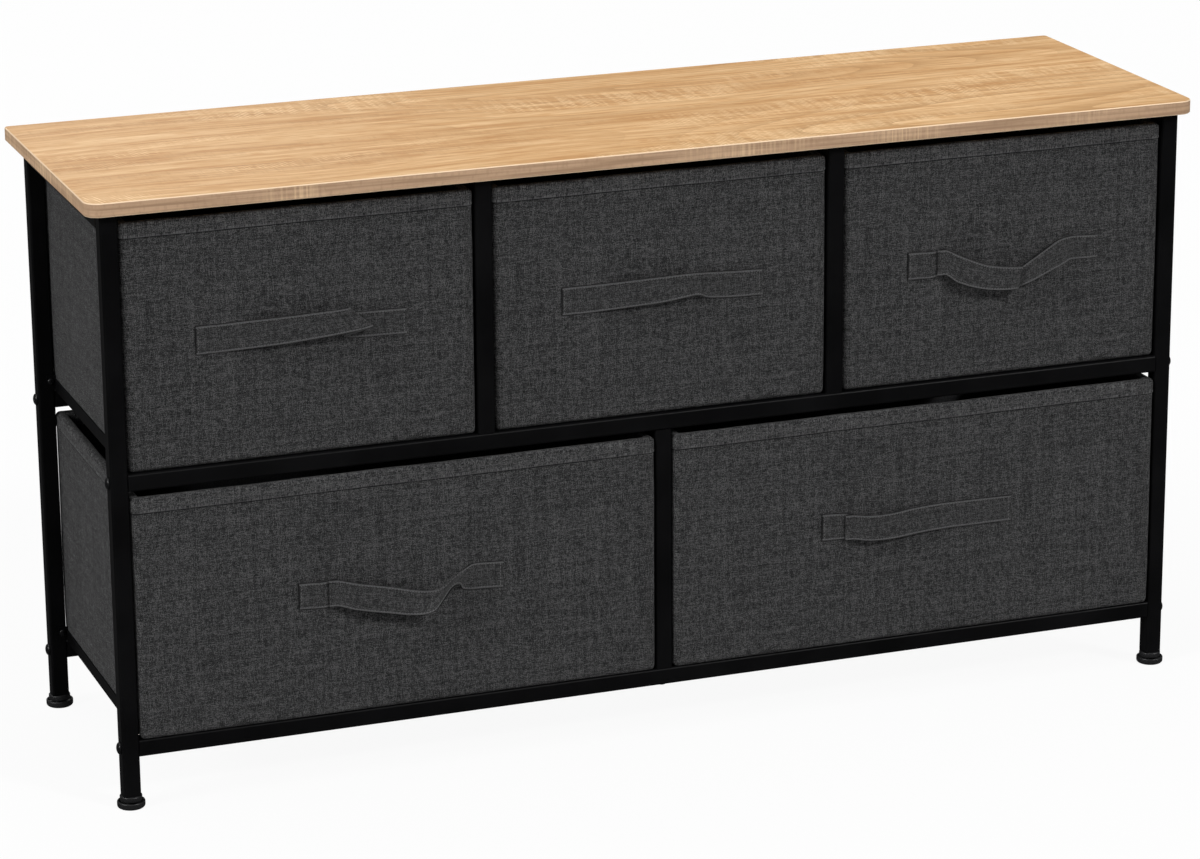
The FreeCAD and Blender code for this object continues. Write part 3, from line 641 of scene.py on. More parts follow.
class Finishes:
    """All the finishes, built once, and the slot that each belongs to."""

    def __init__(self) -> None:
        """Builds each finish."""
        frame = powder_coat("black_powder_coat", (0.0022, 0.0022, 0.0024), (0.34, 0.46), 0.06)
        fasteners = powder_coat("blackened_steel", (0.0030, 0.0030, 0.0033), (0.22, 0.34), 0.22)
        self.thread = sewing_thread().build()
        self.by_slot: dict[Slot, bpy.types.Material] = {
            Slot.OAK: OakLaminate().build(),
            Slot.FRAME: frame.build(),
            Slot.FASTENERS: fasteners.build(),
            Slot.STEEL: plated_steel().build(),
            Slot.PLASTIC: moulded_plastic().build(),
            Slot.CLOTH: cover_cloth().build(),
            Slot.LINING: NonWovenLining().build(),
            Slot.WEBBING: strap_cloth().build(),
        }

    def dress(self, piece: Piece, slot: Slot) -> None:
        """Gives a new piece the finish of a slot."""
        piece.data.materials.append(self.by_slot[slot])

    def sew(self, piece: Piece) -> None:
        """Gives stitches the thread."""
        piece.data.materials.append(self.thread)

    def dress_nodes(self, nodes: dict[str, Piece], record: dict) -> None:
        """Gives every CAD node the finish of the slot that the record names.

        Args:
            nodes: The CAD nodes by name.
            record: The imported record.
        """
        for entry in record["subparts"]:
            finish = self.by_slot[Slot(entry["material_slot"])]
            node = nodes[entry["node"]]
            if not node.material_slots:
                node.data.materials.append(finish)
            for place in node.material_slots:
                place.material = finish


# ------------------------------------------------------------------- meshes


def mesh_object(name: str, points: np.ndarray, faces: np.ndarray | list, smooth: bool = True) -> Piece:
    """Makes an object from points and faces.

    Args:
        name: The object's name.
        points: The points, in rows of three.
        faces: The faces, as rows of point numbers.
        smooth: Whether the faces shade smoothly.

    Returns:
        The object, at the origin.
    """
    mesh = bpy.data.meshes.new(name)
    rows = faces.tolist() if isinstance(faces, np.ndarray) else faces
    mesh.from_pydata(points.reshape(-1, 3).tolist(), [], rows)
    mesh.update()
    mesh.polygons.foreach_set("use_smooth", np.full(len(mesh.polygons), smooth))
    piece = bpy.data.objects.new(name, mesh)
    bpy.context.scene.collection.objects.link(piece)
    return piece


def grid_faces(rows: int, columns: int) -> np.ndarray:
    """The quads of a grid of points that is stored row by row."""
    start = (np.arange(rows - 1)[:, None] * columns + np.arange(columns - 1)[None, :]).ravel()
    return np.stack([start, start + 1, start + columns + 1, start + columns], axis=1)


def set_uv(piece: Piece, uv: np.ndarray) -> None:
    """Writes a UV map from one pair of metres for each point.

    Args:
        piece: The piece.
        uv: A pair for each point, in the points' order.
    """
    mesh = piece.data
    layer = mesh.uv_layers.new(name="cloth")
    index = np.zeros(len(mesh.loops), dtype=np.int64)
    mesh.loops.foreach_get("vertex_index", index)
    layer.data.foreach_set("uv", uv.reshape(-1, 2)[index].astype(np.float32).ravel())


def close_up(piece: Piece, merge: float = 1e-6, outwards: bool = True) -> None:
    """Merges points that lie together, which closes seams and poles, and turns faces outwards.

    Args:
        piece: The piece.
        merge: How near the merged points lie, or 0 where none are merged.
        outwards: Whether the faces are turned.
    """
    work = bmesh.new()
    work.from_mesh(piece.data)
    if merge:
        bmesh.ops.remove_doubles(work, verts=work.verts, dist=merge)
        bmesh.ops.dissolve_degenerate(work, edges=work.edges, dist=merge)
    if outwards:
        bmesh.ops.recalc_face_normals(work, faces=work.faces)
    work.to_mesh(piece.data)
    work.free()
    piece.data.update()


def unit(rows: np.ndarray) -> np.ndarray:
    """Each row of numbers divided by its length."""
    return rows / np.linalg.norm(rows, axis=1, keepdims=True)


def walked_along(line: np.ndarray) -> np.ndarray:
    """The distance from a line's start to each of its points."""
    return np.concatenate([[0], np.cumsum(np.linalg.norm(np.diff(line, axis=0), axis=1))])


def read_at(places: np.ndarray | float, own: np.ndarray, rows: np.ndarray) -> np.ndarray:
    """Rows of numbers read at new places between their own places."""
    return np.stack([np.interp(places, own, column) for column in rows.T], axis=-1)


def turned(distance: np.ndarray, height: np.ndarray, angle: np.ndarray) -> np.ndarray:
    """A grid of points (r cos a, r sin a, h): a row for each distance r and height h."""
    round_x, round_y = distance[:, None] * np.cos(angle), distance[:, None] * np.sin(angle)
    return np.stack([round_x, round_y, np.broadcast_to(height[:, None], round_x.shape)], axis=2)


def spun(profile: Sequence[Pair], steps: int = 40) -> Shape:
    """A profile turned about the Z axis.

    Args:
        profile: Radius and height pairs from the upper pole, over the outside, to the lower
            pole.
        steps: How many sides the round has.

    Returns:
        The points and the quads; a pole is a row of doubled points.
    """
    line = np.asarray(profile, float)
    angle = np.linspace(0.0, math.tau, steps + 1)
    points = turned(line[:, 0], line[:, 1], angle)
    return points.reshape(-1, 3), grid_faces(len(line), steps + 1)


def copies(name: str, *groups: tuple[Shape, Sequence[Spot]]) -> Piece:
    """Sets copies of shapes, each turned so that its Z axis looks along a direction.

    Args:
        name: The object's name.
        *groups: A shape, and a place and a direction for each copy of it.

    Returns:
        One object with all the copies, welded and facing outwards.
    """
    all_points, all_faces, count = [], [], 0
    for (points, faces), spots in groups:
        places, ups = (np.asarray(column, float) for column in zip(*spots))
        first = unit(np.cross(np.where(np.abs(ups[:, 2:3]) > 0.9, [[1.0, 0.0, 0.0]], [UPWARDS]), ups))
        axes = np.stack([first, np.cross(ups, first), ups], axis=1)
        moved = np.einsum("pi,kij->kpj", points, axes) + places[:, None, :]
        steps = count + (np.arange(len(spots)) * len(points))[:, None, None]
        all_points.append(moved.reshape(-1, 3))
        all_faces.append((faces[None, :, :] + steps).reshape(-1, faces.shape[1]))
        count += len(spots) * len(points)
    piece = mesh_object(name, np.concatenate(all_points), np.concatenate(all_faces))
    close_up(piece)
    piece.data.set_sharp_from_angle(angle=math.radians(42))
    return piece


def arc(centre: Pair, radius: float | Pair, start: float, end: float, steps: int) -> list[Pair]:
    """Points of an elliptic arc: the centre plus the radii times cosine and sine.

    Args:
        centre: The arc's centre.
        radius: The radius, or the radii along the two axes.
        start: The first angle, in degrees.
        end: The last angle, in degrees.
        steps: How many steps there are.

    Returns:
        The points.
    """
    angle = np.radians(np.linspace(start, end, steps + 1))
    wide, tall = radius if isinstance(radius, tuple) else (radius, radius)
    across = centre[0] + wide * np.cos(angle)
    along = centre[1] + tall * np.sin(angle)
    return list(zip(across.tolist(), along.tolist()))


def smooth_rows(stations: np.ndarray, steps: int) -> np.ndarray:
    """Carries rows of numbers along a smooth cubic through them, spaced by their distances.

    Between two stations the line is the cubic Hermite curve whose slope at a station is the
    mean of the slopes on either side.

    Args:
        stations: The stations, one in a row.
        steps: How many rows come out.

    Returns:
        The rows.
    """
    gaps = np.linalg.norm(np.diff(stations, axis=0), axis=1)
    knots = np.concatenate([[0.0], np.cumsum(np.sqrt(gaps))])
    slopes = np.diff(stations, axis=0) / np.diff(knots)[:, None]
    tangents = np.concatenate([slopes[:1], (slopes[1:] + slopes[:-1]) / 2, slopes[-1:]])
    place = np.linspace(0.0, knots[-1], steps)
    index = np.clip(np.searchsorted(knots, place, side="right") - 1, 0, len(knots) - 2)
    width = (knots[index + 1] - knots[index])[:, None]
    part = ((place - knots[index])[:, None]) / width
    square, cube = part**2, part**3
    return (
        (2 * cube - 3 * square + 1) * stations[index]
        + (cube - 2 * square + part) * width * tangents[index]
        + (3 * square - 2 * cube) * stations[index + 1]
        + (cube - square) * width * tangents[index + 1]
    )


def stitches(
    name: str, places: np.ndarray, ways: np.ndarray, normals: np.ndarray, length: float, width: float
) -> Piece:
    """Small spindles of thread, one for each stitch, half sunk in the cloth.

    A spindle is a circle whose radius follows a power of a half sine along its length.

    Args:
        name: The object's name.
        places: The middle of each stitch.
        ways: The way each stitch runs.
        normals: The way the cloth faces under each stitch.
        length: A stitch's length.
        width: A stitch's width.

    Returns:
        One object with all the stitches.
    """
    sides, rings, power = 6, 3, 0.7
    angle = np.arange(sides) * math.tau / sides
    travel = np.arange(1, rings + 1) / (rings + 1)
    swell = np.sin(math.pi * travel) ** power
    ring = turned(swell * width / 2, (travel - 0.5) * length, angle)[..., [2, 0, 1]]
    tips = np.array([[-length / 2, 0, 0], [length / 2, 0, 0]])
    template = np.concatenate([ring.reshape(-1, 3), tips])
    near = np.arange(sides)
    after = (near + 1) % sides
    faces: list[list[int]] = []
    for low in range(0, (rings - 1) * sides, sides):
        high = low + sides
        faces += np.stack([low + near, low + after, high + after, high + near], 1).tolist()
    last = (rings - 1) * sides
    faces += np.stack([after, near, np.full(sides, rings * sides)], 1).tolist()
    faces += np.stack([last + near, last + after, np.full(sides, rings * sides + 1)], 1).tolist()
    forward = unit(ways)
    across = unit(np.cross(normals, forward))
    axes = np.stack([forward, across, np.cross(forward, across)], axis=1)
    points = np.einsum("pi,kij->kpj", template, axes) + places[:, None, :]
    starts = range(0, len(places) * len(template), len(template))
    rows = [[number + start for number in face] for start in starts for face in faces]
    piece = mesh_object(name, points, rows)
    close_up(piece, merge=0)
    return piece


# ------------------------------------------------------------------ drawers


@dataclass(frozen=True)
class DrawerSize:
    """A drawer's outside size and its place in the case."""

    bay: Bay
    centre_x: float
    width: float
    front_y: float
    floor_z: float
    depth: float = 268.0 * MM
    height: float = 210.0 * MM

    @property
    def name(self) -> str:
        """The start of the names of the drawer's pieces."""
        return self.bay.value

    @property
    def half(self) -> np.ndarray:
        """Half the width and half the depth."""
        return np.array([self.width, self.depth]) / 2

    @property
    def loop(self) -> float:
        """The way round the drawer with sharp corners."""
        return 2 * (self.width + self.depth)

    @property
    def origin(self) -> np.ndarray:
        """The middle of the drawer's floor."""
        return np.array([self.centre_x, self.front_y + self.depth / 2, self.floor_z])


@dataclass
class DrawerCover:
    """A sewn cloth box, drawn tight over four stiff boards, with its rim folded in and hemmed.

    The places of the hem's step and ridge are each a height over the seam and a width.
    """

    size: DrawerSize
    seed: int
    corner: float = 3.0 * MM
    cloth: float = 1.4 * MM
    wall: float = 6.0 * MM
    rim: float = 1.9 * MM
    hem: float = 12.0 * MM
    seam_drop: float = 11.0 * MM
    seam_width: float = 0.50 * MM
    seam_depth: float = 0.80 * MM
    hem_lift: float = 0.50 * MM
    hem_ridge: float = 0.35 * MM
    step_place: Pair = (0.4 * MM, 0.25 * MM)
    ridge_place: Pair = (1.1 * MM, 0.6 * MM)
    swell_height: float = 0.55 * MM
    swell_level: float = 0.45
    swell_fade: float = 30.0 * MM
    swell_clear: float = 16.0 * MM
    wave_height: float = 0.30 * MM
    wave_reach: float = 20.0 * MM
    wave_at_seam: float = 0.7
    least_radius: float = 0.5 * MM
    floor_radius: float = 0.2 * MM
    floor_closes: float = 130.0 * MM
    stitch_pitch: float = 3.1 * MM
    stitch: Pair = (2.5 * MM, 0.70 * MM)
    stitch_sunk: float = 0.18 * MM
    stitch_tilt: float = 0.05
    flap_rows: int = 9
    side_steps: int = 56
    corner_steps: int = 6

    @property
    def seam(self) -> float:
        """The height of the hem's seam over the drawer's floor."""
        return self.size.height - self.seam_drop

    def outline(self) -> tuple[np.ndarray, np.ndarray, np.ndarray]:
        """The walk round the drawer, as signs, outward directions and points.

        A point at inset d with corner radius r is sign * (half size - d - r) + r * direction.
        On a straight side the sign moves evenly from one corner to the next, and in a corner
        the direction turns through a right angle.

        Returns:
            The signs, the directions and the points at inset 0, with the start repeated.
        """
        signs, ways = [], []
        corners = np.array([(1, -1), (1, 1), (-1, 1), (-1, -1)], float)
        for number, corner in enumerate(corners):
            start = math.radians(-90 + 90 * number)
            turn = start + np.linspace(0, math.pi / 2, self.corner_steps + 1)
            signs.append(np.tile(corner, (self.corner_steps + 1, 1)))
            ways.append(np.stack([np.cos(turn), np.sin(turn)], axis=1))
            part = np.linspace(0, 1, self.side_steps + 1)[1:-1, None]
            signs.append(corner * (1 - part) + corners[(number + 1) % 4] * part)
            end = start + math.pi / 2
            ways.append(np.tile([[math.cos(end), math.sin(end)]], (self.side_steps - 1, 1)))
        sign = np.concatenate(signs + [signs[0][:1]])
        way = np.concatenate(ways + [ways[0][:1]])
        return sign, way, sign * (self.size.half - self.corner) + self.corner * way

    def swell(self, walked: np.ndarray, height: np.ndarray) -> np.ndarray:
        """How far the cloth stands out from its boards.

        The swell is a mean level plus four products of sines, which fade to nothing at the
        floor and at the hem.

        Args:
            walked: Distance round the drawer.
            height: Height over the drawer's floor.

        Returns:
            The swell, in metres, never below zero.
        """
        tall = self.size.height
        total = np.zeros(np.broadcast(walked, height).shape)
        rng = np.random.default_rng(self.seed)
        for turns, rises, share in ((5, 1.0, 0.30), (9, 1.7, 0.22), (17, 0.8, 0.14), (31, 2.6, 0.08)):
            lead, lag = rng.uniform(0, math.tau, 2)
            wave = share * np.sin(math.tau * turns * walked / self.size.loop + lead)
            total = total + wave * np.sin(math.pi * rises * height / tall + lag)
        below_hem = tall - self.swell_clear - height
        fade = np.clip(height / self.swell_fade, 0, 1) * np.clip(below_hem / self.swell_fade, 0, 1)
        return np.clip(self.swell_level + total, 0, None) * fade * self.swell_height

    def front_swell(self, along: np.ndarray, up: np.ndarray) -> np.ndarray:
        """The swell of the front, at distances from its middle and heights over the floor."""
        return self.swell(self.size.loop - (self.size.width / 2 - along), up)

    def rim_wave(self, walked: np.ndarray) -> np.ndarray:
        """The slight rise and fall of the rim: two sines round the drawer.

        Args:
            walked: Distance round the drawer.

        Returns:
            The rise, in metres.
        """
        lead = 0.7 * self.seed
        turn = math.tau * walked / self.size.loop
        return self.wave_height * (0.6 * np.sin(7 * turn + lead) + 0.4 * np.sin(19 * turn - lead))

    def profile(self) -> tuple[np.ndarray, np.ndarray]:
        """The cloth's outer face from the flap's lower edge, over the rim, to the floor's middle.

        Its points lie close together round the seam and further apart below it.

        Returns:
            Inset and height pairs, and the outward direction at each as inset and height.
        """
        height, rim, wall, seam, corner = self.size.height, self.rim, self.wall, self.seam, self.corner
        flap = [(wall, z) for z in np.linspace(height - self.hem, height - rim, self.flap_rows)[:-1]]
        inner = arc((wall - rim, height - rim), rim, 0, 90, 5)
        outer = arc((rim, height - rim), rim, 90, 180, 5)
        fine = np.linspace(height - rim - 0.5 * MM, seam + 2.4 * MM, 6)
        sewn = np.linspace(seam + 2.0 * MM, seam - 2.0 * MM, 19)
        under = np.linspace(seam - 2.6 * MM, seam - 8 * MM, 4)
        plain = np.linspace(seam - 13 * MM, corner + 2 * MM, 30)
        face = [(0.0, z) for z in np.concatenate([fine, sewn, under, plain])]
        foot = arc((corner, corner), corner, 180, 270, 5)
        floor = [(inset, 0.0) for inset in np.linspace(corner + 2 * MM, min(self.size.half), 14)]
        line = np.array(flap + inner + outer + face + foot + floor)
        step = np.gradient(line, axis=0)
        return line, unit(np.stack([step[:, 1], -step[:, 0]], axis=1))

    def lift(self, walked: np.ndarray, inset: np.ndarray, height: np.ndarray) -> np.ndarray:
        """How far the cloth lies out from its profile.

        It is the swell, a step and a soft ridge at the hem, less a narrow groove at the seam,
        which puckers a little at every second stitch. The flap and the floor have none.

        Args:
            walked: Distance round the drawer.
            inset: The profile's insets.
            height: The profile's heights.

        Returns:
            The distance out.
        """
        over_seam = height - self.seam
        groove = np.exp(-((over_seam / self.seam_width) ** 2))
        pucker = 0.75 + 0.25 * np.sin(math.tau * walked / (2 * self.stitch_pitch))
        step_at, step_width = self.step_place
        ridge_at, ridge_width = self.ridge_place
        step = self.hem_lift / (1 + np.exp(-(over_seam - step_at) / step_width))
        ridge = self.hem_ridge * np.exp(-(((over_seam - ridge_at) / ridge_width) ** 2))
        out = self.swell(walked, height) + step + ridge - self.seam_depth * groove * pucker
        return np.where((inset < self.wall / 2) & (height > self.corner), out, 0.0)

    def build(self, finishes: Finishes) -> Piece:
        """Builds the cover: the lifted profile is carried round the outline.

        Args:
            finishes: The finishes.

        Returns:
            The cover.
        """
        sign, way, base = self.outline()
        walked = walked_along(base)
        line, facing = self.profile()
        inset, height = line[:, :1], line[:, 1:]
        lift = self.lift(walked[None, :], inset, height)
        near_rim = np.clip((height - (self.seam - self.wave_reach)) / self.swell_fade, 0, 1)
        moved_inset = inset + lift * facing[:, :1]
        moved_height = height + lift * facing[:, 1:] + near_rim * self.rim_wave(walked)[None, :]
        radius = np.clip(self.corner - moved_inset, self.least_radius, None)
        room = np.clip(self.size.half - moved_inset[..., None] - radius[..., None], 0, None)
        in_floor, open_floor = inset > self.wall * 1.5, inset < self.floor_closes
        radius = np.where(in_floor, np.minimum(radius, self.floor_radius), radius)
        flat = sign[None] * room + radius[..., None] * way[None] * open_floor[..., None]
        points = np.concatenate([flat, moved_height[..., None]], axis=2) + self.size.origin
        piece = mesh_object(f"{self.size.name}_cover", points, grid_faces(*points.shape[:2]))
        travelled = walked_along(line)
        outer_height, outer_way = height[self.flap_rows :, 0], travelled[self.flap_rows :]
        seam_at = np.interp(self.seam, outer_height[::-1], outer_way[::-1])
        set_uv(piece, np.stack(np.broadcast_arrays(walked[None, :], seam_at - travelled[:, None]), axis=2))
        close_up(piece, merge=2e-6, outwards=False)
        shell = piece.modifiers.new("cloth_thickness", "SOLIDIFY")
        shell.thickness = self.cloth
        shell.offset = -1.0
        shell.use_even_offset = False
        finishes.dress(piece, Slot.CLOTH)
        return piece

    def hem_stitches(self, finishes: Finishes) -> Piece:
        """The row of stitches that holds the folded hem, all round the drawer.

        Args:
            finishes: The finishes.

        Returns:
            The stitches.
        """
        _, way, line = self.outline()
        walked = walked_along(line)
        spots = np.arange(self.stitch_pitch / 2, walked[-1], self.stitch_pitch)
        out = unit(read_at(spots, walked, way))
        flat = read_at(spots, walked, line) - out * self.stitch_sunk
        height = self.seam + self.rim_wave(spots) * self.wave_at_seam
        places = np.concatenate([flat, height[:, None]], axis=1) + self.size.origin
        normals = np.concatenate([out, np.zeros((len(out), 1))], axis=1)
        along = np.stack([-out[:, 1], out[:, 0], np.full(len(out), self.stitch_tilt)], axis=1)
        piece = stitches(f"{self.size.name}_hem_stitches", places, along, normals, *self.stitch)
        finishes.sew(piece)
        return piece


Station = tuple[float, float, float, float, float, float]


def tab(start: float, end: float, top: Pair, low: Pair) -> list[Station]:
    """A stretch of strap that is sewn flat on the drawer's front.

    Args:
        start: Where it starts.
        end: Where it ends.
        top: Heights of the upper edge at both ends.
        low: Heights of the lower edge at both ends.

    Returns:
        Three stations.
    """
    middle = (start + end) / 2
    return [
        (start, 2.1, top[0], start, 2.1, low[0]),
        (middle, 2.0, sum(top) / 2, middle, 2.0, sum(low) / 2),
        (end, 2.0, top[1], end, 2.0, low[1]),
    ]


def tuck(edge: float, top: float, low: float, depth: float = 6.0) -> list[Station]:
    """The fold where the slack strap doubles back over the end of its tab.

    The line runs on past the tab's end, turns back outwards to the edge, and turns again.

    Args:
        edge: Where the outer fold stands.
        top: The upper edge's height.
        low: The lower edge's height.
        depth: How far out the strap lies after the fold.

    Returns:
        The fold's stations.
    """
    under = ((5.0, 1.8), (7.4, 2.1), (7.6, 3.1))
    over = ((4.6, 3.5), (1.2, 3.6), (0.0, 4.3), (1.2, 5.1), (7.0, depth))
    return [(edge + along, out, top, edge + along, out, low) for along, out in under + over]


class StrapShapes:
    """How each drawer's strap hangs, as stations from its left tab to its right one.

    A station is one place along a strap, in millimetres: how far the upper edge lies along
    from the drawer's middle, out from its front and up from its floor, then the lower edge.
    """

    @staticmethod
    def top_left() -> list[Station]:
        """A nearly straight strap, laid over its right tab in a slanting fold."""
        return [
            *tab(-91, -68, (119.4, 119.2), (94.4, 94.5)),
            (-50, 3.2, 120.0, -50, 3.2, 95.2),
            (-18, 7.0, 121.2, -15, 7.0, 97.3),
            (14, 9.0, 122.6, 22, 9.8, 100.6),
            (30, 10.0, 123.3, 44.5, 11.4, 103.2),
            (36.5, 9.8, 123.5, 56.4, 11.8, 104.8),
            (38.8, 8.4, 123.2, 59.8, 10.2, 104.9),
            (37.2, 6.6, 122.5, 58.3, 7.8, 103.9),
            (31, 4.9, 120.6, 50, 5.1, 100.6),
            (26, 3.6, 119.2, 40, 3.7, 98.0),
            (27, 2.2, 118.2, 37.5, 2.2, 96.4),
            (36, 1.3, 117.8, 42, 1.3, 95.4),
            *tab(50, 91, (117.4, 116.6), (94.8, 93.8)),
        ]

    @staticmethod
    def top_middle() -> list[Station]:
        """A nearly flat strap with one shallow wave towards its right end."""
        return [
            *tab(-91.5, -70, (119.4, 119.4), (94.6, 94.6)),
            (-52, 3.0, 119.8, -52, 3.0, 95.2),
            (-26, 6.0, 121.0, -26, 5.6, 96.8),
            (-2, 7.0, 121.6, 0, 7.6, 98.4),
            (17, 6.8, 121.7, 22, 8.6, 101.2),
            (30, 6.0, 121.4, 32, 6.6, 101.0),
            (42, 4.6, 120.6, 41, 3.0, 97.2),
            (53, 3.0, 119.6, 52, 2.4, 95.8),
            *tab(66, 91.5, (118.8, 117.8), (94.8, 94.3)),
        ]

    @staticmethod
    def top_right() -> list[Station]:
        """A strap that hangs in a V, with a crease at its lowest place."""
        return [
            *tab(-91.5, -68, (118.2, 117.2), (93.2, 92.8)),
            *tuck(-63, 118.4, 95.0),
            (-44, 9.4, 112.6, -47, 10.2, 88.4),
            (-20, 10.0, 102.6, -25, 11.6, 80.8),
            (0, 9.8, 98.6, -4, 11.8, 77.6),
            (12.0, 9.6, 97.4, 7.0, 11.4, 77.2),
            (16.5, 7.6, 96.6, 11.5, 9.4, 77.0),
            (17.0, 5.0, 95.6, 12.5, 6.6, 77.4),
            (20.0, 5.6, 97.6, 15.5, 7.6, 78.2),
            (27.0, 8.0, 103.4, 22.5, 9.6, 81.4),
            (40, 7.8, 111.2, 42, 8.8, 89.0),
            (52, 5.6, 116.8, 58, 5.8, 94.0),
            *tab(66, 91.5, (118.2, 117.2), (96.0, 95.8)),
        ]

    @staticmethod
    def bottom_left() -> list[Station]:
        """A strap that sags to the right and turns on edge as it climbs back to its tab."""
        return [
            *tab(-90.8, -68, (120.8, 119.6), (97.2, 96.0)),
            *tuck(-64, 121.0, 97.0),
            (-40, 9.2, 117.0, -42, 9.8, 92.8),
            (-12, 10.2, 110.8, -14, 12.0, 87.0),
            (8, 10.0, 105.4, 4, 13.0, 83.4),
            (20, 8.4, 102.4, 16.5, 15.0, 83.0),
            (29.5, 6.6, 101.2, 25.5, 17.0, 86.0),
            (38.0, 5.2, 103.0, 33.0, 18.0, 95.5),
            (46.0, 4.2, 108.4, 39.5, 17.4, 103.6),
            (53.0, 3.4, 113.4, 46.0, 13.0, 105.6),
            (58.5, 2.6, 116.8, 50.5, 8.0, 103.0),
            (63.0, 2.0, 118.9, 53.5, 3.6, 98.0),
            (68.0, 1.6, 119.4, 61.0, 1.7, 95.6),
            *tab(75, 91, (119.2, 118.2), (95.2, 94.0)),
        ]

    @staticmethod
    def bottom_right() -> list[Station]:
        """A strap that stands off at its left fold and lies down towards its right end."""
        return [
            *tab(-92.5, -73, (123.6, 122.2), (98.6, 98.0)),
            *tuck(-70, 120.8, 97.4),
            (-48, 8.0, 119.2, -49, 8.2, 95.2),
            (-28, 7.0, 118.6, -26, 7.4, 94.2),
            (-4, 4.8, 120.2, 2, 5.0, 95.6),
            (22, 2.6, 120.6, 30, 2.6, 96.0),
            *tab(52, 91, (120.3, 119.6), (95.8, 95.6)),
        ]

    @classmethod
    def of(cls, bay: Bay) -> list[Station]:
        """The stations of one drawer's strap, which the method with the bay's name gives."""
        return getattr(cls, bay.value)()


